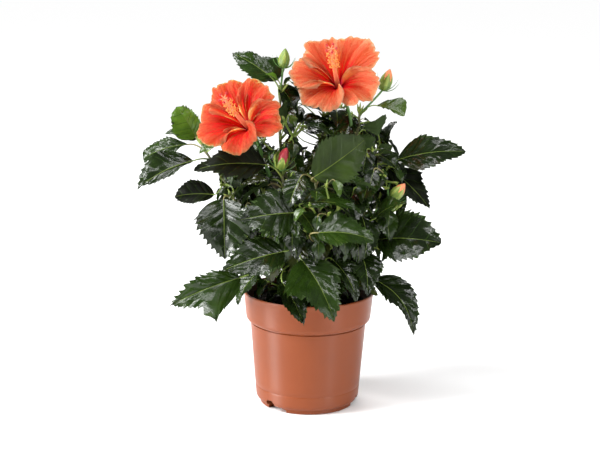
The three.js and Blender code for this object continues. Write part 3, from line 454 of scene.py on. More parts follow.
blooms = [
    {"name": "bloom_right", "start": 0.97, "bend": (20, 2, 218), "joint": (32, -4, 248),
     "via": (46, 2, 292), "base": (26, -8, 317), "faces": (-0.15, -0.79, 0.6), "turn": 8, "seed": 5},
    {"name": "bloom_left", "start": 0.72, "bend": (-24, -4, 198), "joint": (-38, 0, 226),
     "via": (-50, 2, 258), "base": (-57.5, -24, 278.5), "faces": (-0.38, -0.8, 0.5), "turn": 30, "seed": 9},
]

blade = {
    "baseFullness": 0.6,
    "tipSlimness": 1.0,
    "arch": 0.09,
    "fold": 0.22,
    "lobeAt": 0.36,
    "lobeSpread": 0.1,
    "lobeWidth": 0.42,
    "lobeReach": 0.1,
    "lobeLoss": 0.25,
    "outwardTurn": 0.35,
    "probeU": (0.06, 0.24, 0.42, 0.6, 0.78),
    "probeV": (-0.95, -0.48, 0, 0.48, 0.95),
    "probeStalk": (0.35, 0.7),
}


def leafAxes(foot, tip, roll):
    along = unit(tip - foot)
    outward = unit(flat(foot - vec(crown["centre"])))
    heading = unit(flat(along) + outward * blade["outwardTurn"])
    side = np.cross(up, heading)
    side = unit(side - along * np.dot(side, along))
    face = np.cross(along, side)
    turn = math.radians(roll)
    across = side * math.cos(turn) + face * math.sin(turn)
    return along, across, np.cross(along, across)


def bladeHalfWidth(leaf, u):
    a, b = blade["baseFullness"], blade["tipSlimness"]
    widest = a / (a + b)
    oval = (u / widest) ** a * ((1 - u) / (1 - widest)) ** b
    lobe = leaf["lobes"] * np.exp(-(((u - blade["lobeAt"]) / blade["lobeSpread"]) ** 2))
    return 0.5 * leaf["width"] * (oval * (1 - blade["lobeLoss"] * leaf["lobes"]) + blade["lobeWidth"] * lobe)


def bladePoints(leaf, u, v):
    along, across, normal = leaf["axes"]
    half = bladeHalfWidth(leaf, u)
    length = leaf["length"]
    arch = blade["arch"] * length * 4 * u * (1 - u)
    reach = u * length + leaf["lobes"] * blade["lobeReach"] * length * np.abs(v) * (1 - u)
    lift = arch + blade["fold"] * np.abs(v) * half
    return (leaf["foot"] + along * reach[..., None] + across * (v * half)[..., None]
            + normal * lift[..., None])


def makeLeaf(stalkFrom, foot, tip, width, roll, lobes, look):
    leaf = {"from": stalkFrom, "foot": foot, "tip": tip, "width": width, "lobes": lobes, "look": look}
    leaf["length"] = float(np.linalg.norm(tip - foot))
    leaf["axes"] = leafAxes(foot, tip, roll)
    return leaf


def stalkPath(leaf):
    length = np.linalg.norm(leaf["foot"] - leaf["from"])
    bend = leaf["foot"] - leaf["axes"][0] * limbSizes["petiole"]["bend"] * length
    return [leaf["from"], bend, leaf["foot"]]


def bladeProbes(leaf):
    u = np.repeat(blade["probeU"], len(blade["probeV"]))
    v = np.tile(blade["probeV"], len(blade["probeU"]))
    return bladePoints(leaf, np.append(u, 1.0), np.append(v, 0.0))


def stalkProbes(leaf):
    path = stalkPath(leaf)
    return np.array([curvePoint(path, t) for t in blade["probeStalk"]])


# What stands in the crown already, with the number of the piece that each point belongs to
occupied = {kind: {"points": np.zeros((0, 3)), "owners": np.zeros(0, dtype=int)}
            for kind in ("limbs", "blades", "blooms")}
ownerNumbers = {}


def ownerNumber(owner):
    return ownerNumbers.setdefault(owner, len(ownerNumbers))


def occupy(kind, owner, points):
    stand = occupied[kind]
    stand["points"] = np.concatenate([stand["points"], points])
    stand["owners"] = np.append(stand["owners"], np.full(len(points), ownerNumber(owner)))


def isFree(points, kind, distance, owner=None, ownDistance=0):
    stand = occupied[kind]
    reach = max(distance, ownDistance)
    near = np.all((stand["points"] > points.min(axis=0) - reach)
                  & (stand["points"] < points.max(axis=0) + reach), axis=1)
    if not near.any():
        return True
    apart = points[:, None, :] - stand["points"][near][None, :, :]
    nearest = np.sqrt(np.sum(apart * apart, axis=2)).min(axis=0)
    own = stand["owners"][near] == ownerNumber(owner)
    return bool(np.all(nearest > np.where(own, ownDistance, distance)))


def limbProbes(path):
    steps = max(2, math.ceil(np.linalg.norm(path[-1] - path[0]) / 6))
    return np.array([curvePoint(path, k / steps) for k in range(steps + 1)])


def insideMouth(points):
    d = lowShoots
    reach = np.hypot(points[:, 0], points[:, 1])
    floor = np.where(reach < d["mouthRadius"], d["mouthFloor"], d["overRim"])
    return bool(np.all((reach < d["reach"]) & (points[:, 2] > floor) & (points[:, 2] < d["top"])))


def insideCrown(points):
    cx, cy, cz = crown["centre"]
    x = (points[:, 0] - cx) / crown["halfWidth"]
    y = (points[:, 1] - cy) / np.where(points[:, 1] < cy, crown["front"], crown["back"])
    z = (points[:, 2] - cz) / np.where(points[:, 2] > cz, crown["above"], crown["below"])
    overPot = np.hypot(points[:, 0], points[:, 1]) < crown["potClearRadius"]
    floor = np.where(overPot, crown["overPot"], crown["overTable"])
    inBloomView = (points[:, 1] < bloomView["y"]) & (points[:, 2] > bloomView["z"])
    return bool(np.all((x * x + y * y + z * z < 1) & (points[:, 2] > floor) & ~inBloomView))


# How far ahead of the eye each point lies along a sight, and how far aside of it
def aheadAndAside(points, eye, sight):
    offset = points - eye
    ahead = offset @ sight
    aside = offset - sight * ahead[:, None]
    return ahead, np.sqrt(np.sum(aside * aside, axis=1))


def clearOfSky(points):
    eye = vec(sky["eye"])
    for spot in sky["spots"]:
        ahead, aside = aheadAndAside(points, eye, unit(vec(spot) - eye))
        if np.any(aside <= sky["radius"]):
            return False
    return True


# A finer leaf and its stalk stand neither before a bud nor in the gaps of sky
def clearOfSights(leaf):
    eye = vec(sky["eye"])
    stalk = [curvePoint(stalkPath(leaf), t) for t in sky["stalkProbes"]]
    points = np.concatenate([bladeProbes(leaf), stalk])
    for row in masses:
        for at, via, foot, tip, radius, look in row["buds"]:
            middle = (vec(foot) + vec(tip)) / 2
            ahead, aside = aheadAndAside(points, eye, unit(middle - eye))
            if np.any((aside < sky["budRadius"]) & (ahead < np.linalg.norm(middle - eye))):
                return False
    return clearOfSky(points)


def perpendicular(along, degrees):
    reference = up if abs(along[2]) < 0.9 else np.array([1.0, 0.0, 0.0])
    across = unit(np.cross(reference, along))
    angle = math.radians(degrees)
    return across * math.cos(angle) + np.cross(along, across) * math.sin(angle)


def leanFrom(along, out, degrees):
    angle = math.radians(degrees)
    return along * math.cos(angle) + out * math.sin(angle)


rule["inside"] = finerRule["inside"] = insideCrown
mouthRule = dict(
    finerRule,
    inside=insideMouth,
    rounds=[(30, 44), (20, 30), (13, 20)],
    droopLow=-24,
    droopHigh=40,
    stalk=(3, 10),
    clearOfLimbs=1.6,
)


def growTwigs(row, stem, draw, count, r):
    twigs = []
    low, high = r["twigSpan"]
    for k in range(count):
        t = low + (high - low) * (k + 0.5) / count
        length = draw(*r["twigLength"])
        azimuth = draw(0, 360)
        along = curveTangent(stem, t)
        start = curvePoint(stem, t)
        for attempt in range(r["tries"]):
            turned = azimuth + k * r["goldenAngle"] + attempt * r["tryTurn"]
            heading = leanFrom(along, perpendicular(along, turned), r["twigAngle"])
            tip = start + heading * length + up * limbSizes["twig"]["rise"] * length
            path = [start, start + heading * 0.5 * length, tip]
            probes = np.array([curvePoint(path, s) for s in r["twigProbes"]])
            clear = r["clearOfLimbs"]
            if (isFree(probes, "limbs", clear, row["name"], clear)
                    and isFree(probes, "blades", clear, row["name"], clear)
                    and isFree(probes, "blooms", r["clearOfBlooms"])
                    and r["inside"](probes) and clearOfSky(probes)):
                twigs.append(path)
                occupy("limbs", row["name"], limbProbes(path)[1:])
                break
    return twigs


def leafFits(leaf, owner, r):
    probes = bladeProbes(leaf)
    stalk = stalkProbes(leaf)
    leaves, own, limbs = r["clearOfLeaves"], r["clearOfOwnLeaves"], r["clearOfLimbs"]
    return (r["inside"](probes) and clearOfSky(probes)
            and isFree(probes, "blades", leaves, owner, own)
            and isFree(probes, "limbs", limbs, owner, r["ownLimbShare"] * limbs)
            and isFree(probes, "blooms", r["clearOfBlooms"])
            and isFree(stalk, "limbs", r["stalkShare"] * limbs, owner, 0)
            and isFree(stalk, "blades", r["stalkShare"] * leaves, owner, r["ownStalkShare"] * leaves))


def occupyLeaf(row, leaf):
    occupy("blades", row["name"], bladeProbes(leaf))
    occupy("limbs", row["name"], stalkProbes(leaf))


def growLeaves(row, path, sizes, draw, r):
    leaves = []
    length = np.linalg.norm(path[-1] - path[0])
    count = max(2, math.floor(length / r["internode"] + 0.5))
    phase = draw(0, 360)
    for k in range(count):
        t = r["firstLeaf"] + (1 - r["firstLeaf"]) * (k + 1) / count
        stalk = draw(*r["stalk"])
        size = draw(*sizes)
        share = draw(*r["widthShare"])
        roll = draw(-r["rollRange"], r["rollRange"])
        tilt = draw(-r["tiltRange"], r["tiltRange"])
        along = curveTangent(path, t)
        start = curvePoint(path, t)
        for attempt in range(r["tries"]):
            out = perpendicular(along, phase + k * r["goldenAngle"] + attempt * r["tryTurn"])
            heading = leanFrom(along, out, r["stalkAngle"])
            foot = start + heading * stalk
            outward = unit(flat(foot - vec(crown["centre"])))
            level = unit(unit(flat(heading)) + outward * r["outwardPull"])
            height = (foot[2] - crown["overPot"]) / (crown["centre"][2] + crown["above"] - crown["overPot"])
            poise = r["droopLow"] + (r["droopHigh"] - r["droopLow"]) * height + tilt
            droop = math.radians(max(r["droopMost"], poise - attempt * r["tryDroop"]))
            shrink = 1 - r["tryShrink"] * attempt
            way = level * math.cos(droop) + up * math.sin(droop)
            leaf = makeLeaf(start, foot, foot + way * size * shrink, share * size * shrink, roll, 0, None)
            if leafFits(leaf, row["name"], r) and (r is rule or clearOfSights(leaf)):
                leaves.append(leaf)
                occupy("blades", row["name"], bladeProbes(leaf))
                occupy("limbs", row["name"], stalkProbes(leaf))
                break
    return leaves


# The bloom's shape, as the solids have it

petal = {
    "count": 5,
    "throatRadius": 4,
    "radius": 45,
    "depth": 33,
    "halfAngle": 52,
    "overlap": 4.4,
    "ruffle": 2.4,
    "ruffleCount": 9,
    "rufflePower": 3,
    "throatBreadth": 0.62,
    "breadthPower": 0.7,
    "reachPower": 1.25,
    "risePower": 0.9,
    "cornerLoss": 0.33,
    "cornerPower": 2.4,
    "recurve": 6,
    "recurveFrom": 0.62,
    "probeS": (0.25, 0.45, 0.65, 0.85, 1),
    "probeT": (-1, -0.6, -0.2, 0.2, 0.6, 1),
}

column = {
    "length": 64,
    "foot": 2.6,
    "tip": 1.4,
    "lift": 5,
    "bendAt": 0.55,
    "beardFrom": 0.55,
    "beardTo": 0.93,
}


def petalPlace(k, bloom, s, t):
    turned = math.radians(bloom["turn"] + 360 / petal["count"] * k)
    breadth = petal["throatBreadth"] + (1 - petal["throatBreadth"]) * s ** petal["breadthPower"]
    angle = turned + t * math.radians(petal["halfAngle"]) * breadth
    edge = petal["radius"] * (1 - petal["cornerLoss"] * np.abs(t) ** petal["cornerPower"])
    radius = petal["throatRadius"] + (edge - petal["throatRadius"]) * s ** petal["reachPower"]
    wave = np.sin(angle * petal["ruffleCount"] + bloom["seed"]) * petal["ruffle"] * s ** petal["rufflePower"]
    height = petal["depth"] * np.sin(0.5 * math.pi * s) ** petal["risePower"]
    back = petal["recurve"] * np.maximum(0, s - petal["recurveFrom"]) * s
    return angle, radius, height - back + t * petal["overlap"] * s ** 0.5 + wave


def bloomPoint(bloom, angle, radius, height):
    axis, right, top = bloom["axes"]
    return (bloom["origin"] + axis * np.asarray(height)[..., None]
            + right * (np.cos(angle) * radius)[..., None] + top * (np.sin(angle) * radius)[..., None])


def columnPath(bloom):
    axis, right, top = bloom["axes"]
    end = bloom["origin"] + axis * column["length"]
    return [bloom["origin"], bloom["origin"] + axis * column["length"] * column["bendAt"],
            end + top * column["lift"]]


# Grow the crown: limbs first, then the blooms, the posed leaves and what the rule finds room for

def boughPath(row):
    return [curvePoint(trunkPath, row["start"]), vec(row["bend"]), vec(row["joint"])]


def stemStart(row):
    along = curveTangent(boughPath(row), 1)
    return vec(row["joint"]) + along * limbSizes["gap"], along


def settleBlooms():
    twig = limbSizes["bloomTwig"]
    for bloom in blooms:
        axis = unit(vec(bloom["faces"]))
        right = unit(np.cross(up, axis))
        bloom["axes"] = (axis, right, np.cross(axis, right))
        bloom["origin"] = vec(bloom["base"])
        start, along = stemStart(bloom)
        lead = start + along * twig["lead"] * np.linalg.norm(bloom["origin"] - start)
        straight = bloom["origin"] - axis * twig["straight"]
        bloom["twig"] = [start, lead, vec(bloom["via"]), straight, bloom["origin"]]
        occupy("limbs", bloom["name"], limbProbes(bloom["twig"]))
        t = vec(petal["probeT"])
        for k in range(petal["count"]):
            for s in petal["probeS"]:
                place = petalPlace(k, bloom, np.full_like(t, s), t)
                occupy("blooms", bloom["name"], bloomPoint(bloom, *place))
        occupy("blooms", bloom["name"], limbProbes(columnPath(bloom)))


def settleMass(row):
    start, along = stemStart(row)
    tip = vec(row["tip"])
    lead = start + along * limbSizes["stem"]["lead"] * np.linalg.norm(tip - start)
    row["stem"] = [start, lead, tip]
    occupy("limbs", row["name"], limbProbes(row["stem"]))
    row["leaves"] = [
        makeLeaf(curvePoint(row["stem"], at), vec(foot), vec(end), width, roll, lobes, look)
        for at, foot, end, width, roll, lobes, look in row["posed"]]
    for k, leaf in enumerate(row["leaves"]):
        occupyLeaf(row, leaf)
        leaf.update(drawnShapes.get((row["name"], k), {}))
        if "roll" in leaf:
            leaf["axes"] = leafAxes(leaf["foot"], leaf["tip"], leaf["roll"])
    for at, via, foot, end, radius, look in row["buds"]:
        path = [curvePoint(row["stem"], at), vec(via), vec(foot), vec(end)]
        occupy("blades", row["name"], limbProbes(path))


def growCrown():
    occupy("limbs", "trunk", limbProbes(trunkPath))
    for row in masses + blooms:
        row["bough"] = boughPath(row)
        occupy("limbs", "bough_" + row["name"], limbProbes(row["bough"]))
    settleBlooms()
    for row in masses:
        settleMass(row)
    for row in masses:
        row["draw"] = randomSource(row["seed"])
        row["side"] = growTwigs(row, row["stem"], row["draw"], row["twigs"], rule)
    most = 1 + max(len(row["side"]) for row in masses)
    for sizes in rule["rounds"]:
        for k in range(most):
            for row in masses:
                if k <= len(row["side"]):
                    path = row["stem"] if k == 0 else row["side"][k - 1]
                    row["leaves"] += growLeaves(row, path, sizes, row["draw"], rule)
    return sum(len(row["leaves"]) for row in masses)


def growFiner():
    for row in masses:
        for at, foot, tip, width, roll, look in furtherLeaves.get(row["name"], []):
            leaf = makeLeaf(curvePoint(row["stem"], at), vec(foot), vec(tip), width, roll, 0, look)
            row["leaves"].append(leaf)
            occupyLeaf(row, leaf)
    for row in masses:
        row["draw"] = randomSource(row["seed"] + seedSteps["finer"])
        row["fine"] = []
        for path in [row["stem"], *row["side"]]:
            row["fine"] += growTwigs(row, path, row["draw"], finerRule["twigsEach"], finerRule)
    for sizes in finerRule["rounds"]:
        for row in masses:
            bough = row["bough"]
            inner = [bough[0] * 0.4 + bough[1] * 0.6, bough[1], bough[2]]  # all but the bough's foot
            for path in [row["stem"], *row["side"], *row["fine"], inner]:
                row["leaves"] += growLeaves(row, path, sizes, row["draw"], finerRule)
    return sum(len(row["leaves"]) for row in masses)


def growLowShoots():
    d = lowShoots
    draw = randomSource(d["seed"])
    row = {"name": "low_shoots", "seed": d["seed"], "fine": [], "side": [], "leaves": []}
    for k in range(d["count"]):
        start = curvePoint(trunkPath, draw(*d["from"]))
        lean = math.radians(draw(*d["lean"]))
        turn = math.radians(k * rule["goldenAngle"])
        out = vec((math.cos(turn), math.sin(turn), 0))
        length = draw(*d["length"])
        way = out * math.sin(lean) + up * math.cos(lean)
        tip = start + way * length * d["tipAt"] + up * length * d["rise"]
        path = [start, start + way * length * d["bendAt"], tip]
        row["side"].append(path)
        occupy("limbs", row["name"], limbProbes(path)[1:])
    for sizes in mouthRule["rounds"]:
        for path in row["side"]:
            row["leaves"] += growLeaves(row, path, sizes, draw, mouthRule)
    return row


print("crown:", growCrown(), "leaves as in the solids")
print("crown:", growFiner(), "leaves with the finer ones")
shoots = growLowShoots()
print("low shoots:", len(shoots["leaves"]), "leaves")


# Leaves: chevron rows follow the side veins, with quilting between them and teeth at the margin

leafDetail = {
    "sizes": [  # from this length on: vein pairs, columns a side, rows from vein to vein and their teeth
        (44, 6, 7, (0.12, 0.3, 0.5, 0.6, 0.8), (0.0, 0.45, 1.0, 0.1, 0.6)),
        (32, 6, 4, (0.15, 0.5, 0.65), (0.0, 1.0, 0.1)),
        (20, 5, 3, (0.3, 0.65), (0.0, 0.6)),
        (0, 3, 2, (0.5,), (0.0,)),
    ],
    "firstVein": 0.05,
    "lastVein": 0.88,
    "veinHalf": 0.14,
    "veinsFrom": 30,  # shorter leaves show only their midrib
    "midribHalf": 0.42,
    "midribLoss": 0.8,  # by the tip
    "midribFull": 45,  # the leaf's length from which its midrib is full
    "forward": 0.85,
    "innerPower": 0.75,
    "quilt": 0.015,  # of the blade's length, as all relief
    "quiltSwell": (0.1, 1.5),
    "groove": 0.16,
    "cockle": 0.013,
    "cockleRates": ((13, 5), (-7, 9)),  # along and across
    "wave": 0.040,
    "waveRate": 8,
    "ripple": 0.016,
    "rippleRate": 19,
    "sag": (-0.02, 0.09),
    "twist": 0.5,
    "drift": 0.05,
    "thickness": 0.4,
    "toothDepth": 0.085,  # of the blade's width
    "toothRange": (0.35, 1.5),
    "toothFrom": 0.14,
    "toothFull": 0.29,
    "toothLoss": 0.6,
    "toothForward": 0.75,
    "lobeAt": 0.40,
    "lobeFall": 0.055,
    "lobeWidth": 0.62,
    "lobeLoss": 0.42,
    "lobeReach": 0.26,
}


def leafRows(leaf):
    d = leafDetail
    length = leaf["length"]
    least, pairs, columns, between, teeth = next(size for size in d["sizes"] if length >= size[0])
    veins = list(np.linspace(d["firstVein"], d["lastVein"], pairs)) + [1.0]
    half = d["veinHalf"] / length
    rows = [(0.0, 0.0, 0.0, False), (veins[0] * 0.5, 0.3, 0.0, False)]
    for here, after in zip(veins, veins[1:]):
        rows.append((here - half, 0.0, 1.0, True))
        rows.append((here + half, 0.0, 1.0, False))
        for share, tooth in zip(between, teeth):
            at = here + half + (after - here - 2 * half) * share
            rows.append((at, math.sin(math.pi * share), tooth, False))
    rows.append((1.0, 0.0, 0.0, False))
    return [np.array(column) for column in zip(*rows)], columns


# The drawn outline: deeper sinuses between the lobes than the growth rule's plain blade has
def drawnHalfWidth(leaf, u, sign):
    d = leafDetail
    a, b = leaf["fullness"]
    widest = a / (a + b)
    oval = (u / widest) ** a * ((1 - u) / (1 - widest)) ** b
    lobes = np.where(sign < 0, leaf["lobeSides"][0], leaf["lobeSides"][1])
    spread = np.where(u < d["lobeAt"], leaf["lobeRise"], d["lobeFall"])
    lobe = lobes * np.exp(-(((u - d["lobeAt"]) / spread) ** 2))
    sides = np.where(sign < 0, leaf["sideWidths"][0], leaf["sideWidths"][1])
    return 0.5 * leaf["width"] * sides * (oval * (1 - d["lobeLoss"] * lobes * smoothstep(0.2, 0.5, u))
                                  + d["lobeWidth"] * lobe)


# The blade's height over its flat plane: arch, fold, quilting, grooves, cockles, waves and sag
def bladeLift(leaf, u, v, w, t, half, bulge, sign, phase, sag, twist):
    d = leafDetail
    length = leaf["length"]
    inner = np.sin(math.pi * np.abs(w) ** d["innerPower"])
    (alongA, acrossA), (alongB, acrossB) = d["cockleRates"]
    cockles = np.sin(alongA * u + acrossA * w + phase) * np.sin(acrossB * w + alongB * u + 3 * phase)
    waves = d["wave"] * np.sin((d["waveRate"] + 2 * twist) * u + phase + 1.4 * sign)
    waves = waves + d["ripple"] * np.sin(d["rippleRate"] * u + 2 * phase - sign)
    lift = blade["arch"] * length * 4 * u * (1 - u) + leaf["fold"] * v * half * (1 + twist * sign)
    lift = lift + d["quilt"] * length * bulge * inner * smoothstep(0, 0.2, t)
    lift = lift - d["groove"] * (np.abs(w) < 0.01) - d["groove"] * (bulge == 0) * inner
    return lift + length * (d["cockle"] * inner * cockles + waves * v ** 2 - sag * u ** 3)


def addLeaf(bag, leaf, draw):
    d = leafDetail
    along, across, normal = leaf["axes"]
    length = leaf["length"]
    (t, bulge, tooth, veinRow), columns = leafRows(leaf)
    leaf = {**drawnAsUsual, "lobeSides": (leaf["lobes"], leaf["lobes"]), **leaf}
    uneven = np.array([draw(*d["toothRange"]) for k in range(2 * len(t))]).reshape(len(t), 2)
    phase, sag, twist = draw(0, 2 * math.pi), draw(*d["sag"]), draw(-d["twist"], d["twist"])
    gaps = np.cumsum(veinRow)
    swell = np.array([draw(*d["quiltSwell"]) for k in range(2 * gaps[-1] + 2)]).reshape(-1, 2)[gaps]
    sides = np.arange(columns + 1) / columns
    w = np.concatenate([-sides[::-1], sides])[None, :]
    sign = np.concatenate([-np.ones(columns + 1), np.ones(columns + 1)])[None, :]
    t, bulge = t[:, None], bulge[:, None] * np.where(sign < 0, swell[:, :1], swell[:, 1:])
    u = t * t + (t - t * t) * np.abs(w) ** d["forward"]
    half = drawnHalfWidth(leaf, np.clip(u, 0, 1), sign)
    midrib = d["midribHalf"] * (1 - d["midribLoss"] * u) * min(1, length / d["midribFull"])
    midrib = np.minimum(midrib, 0.5 * half)
    v = (midrib + (half - midrib) * np.abs(w)) / np.maximum(half, 1e-6)
    lobes = np.where(sign < 0, leaf["lobeSides"][0], leaf["lobeSides"][1])
    reach = u * length + lobes * d["lobeReach"] * length * v * u * (1 - u) ** 2 * 4
    lift = bladeLift(leaf, u, v, w, t, half, bulge, sign, phase, sag, twist)
    sideways = sign * v * half + d["drift"] * length * twist * u * u + leaf["bend"] * length * 4 * u * (1 - u)
    depth = d["toothDepth"] * leaf["width"] * smoothstep(d["toothFrom"], d["toothFull"], t)
    depth = depth * (1 - d["toothLoss"] * t) * np.minimum(1, half / 2)
    teeth = depth * np.where(sign < 0, uneven[:, :1], uneven[:, 1:]) * tooth[:, None] * (np.abs(w) > 0.99)
    points = (leaf["foot"] + along * (reach + d["toothForward"] * teeth)[..., None]
              + across * (sideways + sign * teeth)[..., None] + normal * lift[..., None])
    thick = d["thickness"] * (1 - np.abs(w) ** 4) * smoothstep(0, 0.04, u)
    look = np.full((len(t) - 1, w.shape[1] - 1), leafLooks.index(leaf["look"]))
    if length > d["veinsFrom"]:
        look[veinRow[:-1], 1:-1] = leafLooks.index("vein")
    look[:, columns] = leafLooks.index("rib")
    addGrid(bag, points, look)
    addGrid(bag, points - normal * thick[..., None], leafLooks.index("under"), flip=True)


lookShares = {"small": 22, "freshTo": 0.15, "darkTo": 0.58, "midTo": 0.9}


def chooseLook(leaf, draw):
    pick = draw(0, 1)
    if leaf["look"]:
        return leaf["look"]
    if leaf["length"] < lookShares["small"]:
        return "fresh" if pick < lookShares["freshTo"] else "mid"
    if pick < lookShares["darkTo"]:
        return "dark"
    return "mid" if pick < lookShares["midTo"] else "olive"


def makeLeaves():
    materials = leafMaterials()
    triangles = 0
    for row in [*masses, shoots]:
        bag = newBag()
        draw = randomSource(row["seed"] + seedSteps["looks"])
        for leaf in row["leaves"]:
            leaf["look"] = chooseLook(leaf, draw)
            addLeaf(bag, leaf, draw)
        replaced = [] if row is shoots else ["leaves_" + row["name"]]
        buildPiece("foliage_" + row["name"], bag, materials, replaced)
        triangles += 2 * sum(len(faces) for faces in bag["faces"])
    return triangles


print("leaves made:", makeLeaves(), "triangles")


# Stems, twigs and leaf stalks

redStalks = 0.2  # the share of the leaf stalks that are reddish

stalkFinish = {
    "stem": ((0.075, 0.085, 0.030), (0.120, 0.120, 0.045)),
    "green": ((0.140, 0.215, 0.030), (0.200, 0.280, 0.045)),
    "red": ((0.140, 0.125, 0.038), (0.190, 0.160, 0.050)),
}

knobs = {"depth": 0.07, "around": 2, "wind": 23, "along": 31}


def knobbly(seed):
    d = knobs

    def relief(t, angles):
        ways = np.sin(angles * d["around"] + t * d["wind"] + seed)
        return 1 + d["depth"] * ways * math.sin(t * d["along"] + seed)

    return relief


def addStalk(bag, leaf, look):
    size = limbSizes["petiole"]
    slim = min(1, size["slimmest"] + leaf["length"] / size["fullLength"])
    path = stalkPath(leaf) + [leaf["foot"] + leaf["axes"][0] * size["sunk"]]
    addTube(bag, path, lambda t: slim * (taper(size, t) + size["collar"] * (1 - t) ** 6),
            sides=6, rings=8, look=look)


def makeStalks():
    materials = surfacesOf("stalk", stalkFinish, roughness=0.5, patch=90, grain=700, relief=0.4)
    stem, twig, green, red = limbSizes["stem"], limbSizes["twig"], 1, 2
    bag = newBag()
    draw = randomSource(stalkSeed)
    for row in [*masses, shoots]:
        if row is not shoots:
            start, along = stemStart(row)
            path = [row["stem"][0] - along * stem["sunk"], *row["stem"]]
            addTube(bag, path, lambda t: taper(stem, t), sides=12, rings=28, relief=knobbly(row["seed"]))
        for k, path in enumerate(row["side"] + row["fine"]):
            swell = knobbly(row["seed"] + k)
            addTube(bag, path, lambda t: taper(twig, t), sides=8, rings=12, look=green, relief=swell)
        for leaf in row["leaves"]:
            addStalk(bag, leaf, red if draw(0, 1) < redStalks else green)
    buildPiece("stems_and_stalks", bag, materials, ["leaves_" + row["name"] for row in masses])


makeStalks()
print("stems and stalks made")


# Trunk and boughs in one skin, with the bark's relief

barkLook = {
    "tones": ((0.115, 0.085, 0.052), (0.240, 0.195, 0.130)),
    "voxel": 0.75,
    "softened": 4,
    "ridges": 0.35,
    "ridgeScale": (0.55, 0.55, 0.12),
    "ridgeSettings": (0.7, 2, 3),
    "pores": 0.18,
    "poreScale": 0.9,
}


def trunkRadius(t):
    size = limbSizes["trunk"]
    height = t * (trunkPath[3][2] - trunkPath[0][2])
    fade = math.exp(-((height / size["flareHalf"]) ** size["flarePower"]))
    return taper(size, t) + (size["flare"] - size["foot"]) * fade


def makeLimbs():
    trunk, bough = limbSizes["trunk"], limbSizes["bough"]
    bag = newBag()
    path = [trunkPath[0] - up * trunk["sunk"], *trunkPath]
    addTube(bag, path, lambda t: trunkRadius(max(0, t - trunk["straight"])), sides=32, rings=60)
    for row in masses + blooms:
        addTube(bag, row["bough"], lambda t: taper(bough, t) + bough["collar"] * (1 - t) ** 4,
                sides=16, rings=24)
    material = surface("bark", barkLook["tones"], roughness=0.75, patch=220, grain=1500, relief=0.6)
    replaced = ["trunk"] + ["bough_" + row["name"] for row in masses + blooms]
    limbs = buildPiece("trunk_and_boughs", bag, [material], replaced)
    remesh = limbs.modifiers.new("skin", "REMESH")
    remesh.mode = "VOXEL"
    remesh.voxel_size = barkLook["voxel"] * mm
    remesh.use_smooth_shade = True
    smooth = limbs.modifiers.new("soften", "SMOOTH")
    smooth.iterations = barkLook["softened"]
    applyModifiers(limbs)
    mesh = limbs.data
    stretch = Vector(barkLook["ridgeScale"])
    normals = [v.normal.copy() for v in mesh.vertices]
    for v, normal in zip(mesh.vertices, normals):
        p = v.co / mm
        ridge = noise.fractal(p * stretch, *barkLook["ridgeSettings"])
        pore = noise.noise(p * barkLook["poreScale"])
        v.co += normal * mm * (barkLook["ridges"] * ridge + barkLook["pores"] * pore)
    mesh.update()


def applyModifiers(piece):
    graph = bpy.context.evaluated_depsgraph_get()
    made = bpy.data.meshes.new_from_object(piece.evaluated_get(graph))
    piece.modifiers.clear()
    piece.data = made


makeLimbs()
print("trunk and boughs made")


# The open blooms, each with its petals as drawn: way round from the right, reach, half angle and folds

petalSets = {
    "bloom_right": {
        "ways": (51, 125, 184, 248, 330),
        "reach": (1.05, 0.96, 0.94, 0.98, 1.00),
        "half": (45, 44, 48, 50, 50),
        "curl": (0.3, 0.5, 0.3, 0.7, 1.4),
        "point": (0, 0.12, 0, 0.08, 0),
        "redder": -0.08,
    },
    "bloom_left": {
        "ways": (64, 132, 200, 281, 364),
        "reach": (0.91, 0.94, 0.97, 0.80, 1.00),
        "half": (46, 50, 54, 66, 42),
        "curl": (0.5, 0.3, 0.5, 1.0, 0.8),
        "point": (0.10, 0, 0, 0, 0.06),
        "redder": 0.25,
    },
}

petalDetail = {
    "rows": 46,
    "columns": 92,
    "throat": 1.0,
    "throatBreadth": 0.9,
    "cornerLoss": 0.42,
    "cornerPower": 2.5,
    "reachPower": 1.2,
    "overlap": 2.6,
    "cup": 1.5,
    "funnel": 3.0,  # how far the throat dips below the petals' foot
    "scallop": 0.042,
    "notch": 0.06,
    "notches": 4,
    "notchHalf": 0.035,
    "pointHalf": 0.10,
    "wave": 4.6,
    "wavePower": 2.4,
    "frill": 0.6,
    "frillPower": 7,
    "pleat": 0.36,
    "pleatRange": (0.12, 0.55),
    "crepe": 0.20,
    "crepeRates": (40, 9, 50),  # along, slant and across
    "crepeRange": (0.2, 0.6),
    "curl": 5.0,
    "curlFrom": 0.6,
    "curlTurn": 0.05,
    "thickness": 0.35,
    # Fine streaks: vein colour, and partly a painted highlight on fine ridges that the mesh lacks
    "streakVeinsAndHighlights": 0.19,
    # Painted highlight on the pleat ridges and painted shade in the pleat valleys
    "pleatHighlightAndShade": 0.11,
    "speckShade": 0.04,
    "shadeFade": 1.3,
    # Painted highlight along the raised and curled side folds of each petal
    "foldHighlight": 0.16,
    "marginRange": (0.55, 0.95),
    "darkMiddle": 0.05,
    "redRange": (0.3, 0.75),
    "stops": (0.09, 0.22, 0.31, 0.40, 0.52, 0.68, 0.93),  # where each colour gives way to the next
}

# Sums of sines over a petal's breadth: share and rate of each
petalWaves = {
    "scallop": ((0.6, 4), (0.5, 8), (0.3, 15), (0.12, 33)),
    "wave": ((0.65, 6), (0.4, 11)),
    "frill": ((0.7, 19), (0.5, 31)),
    "pleat": ((0.7, 15), (0.6, 26), (0.45, 43)),
    "crepeAlong": ((1, 1), (0.7, 1.9)),
    "crepeAcross": ((1, 1), (0.6, 1.7)),
    "streak": ((0.5, 19), (0.45, 37), (0.4, 71), (0.4, 113)),
}

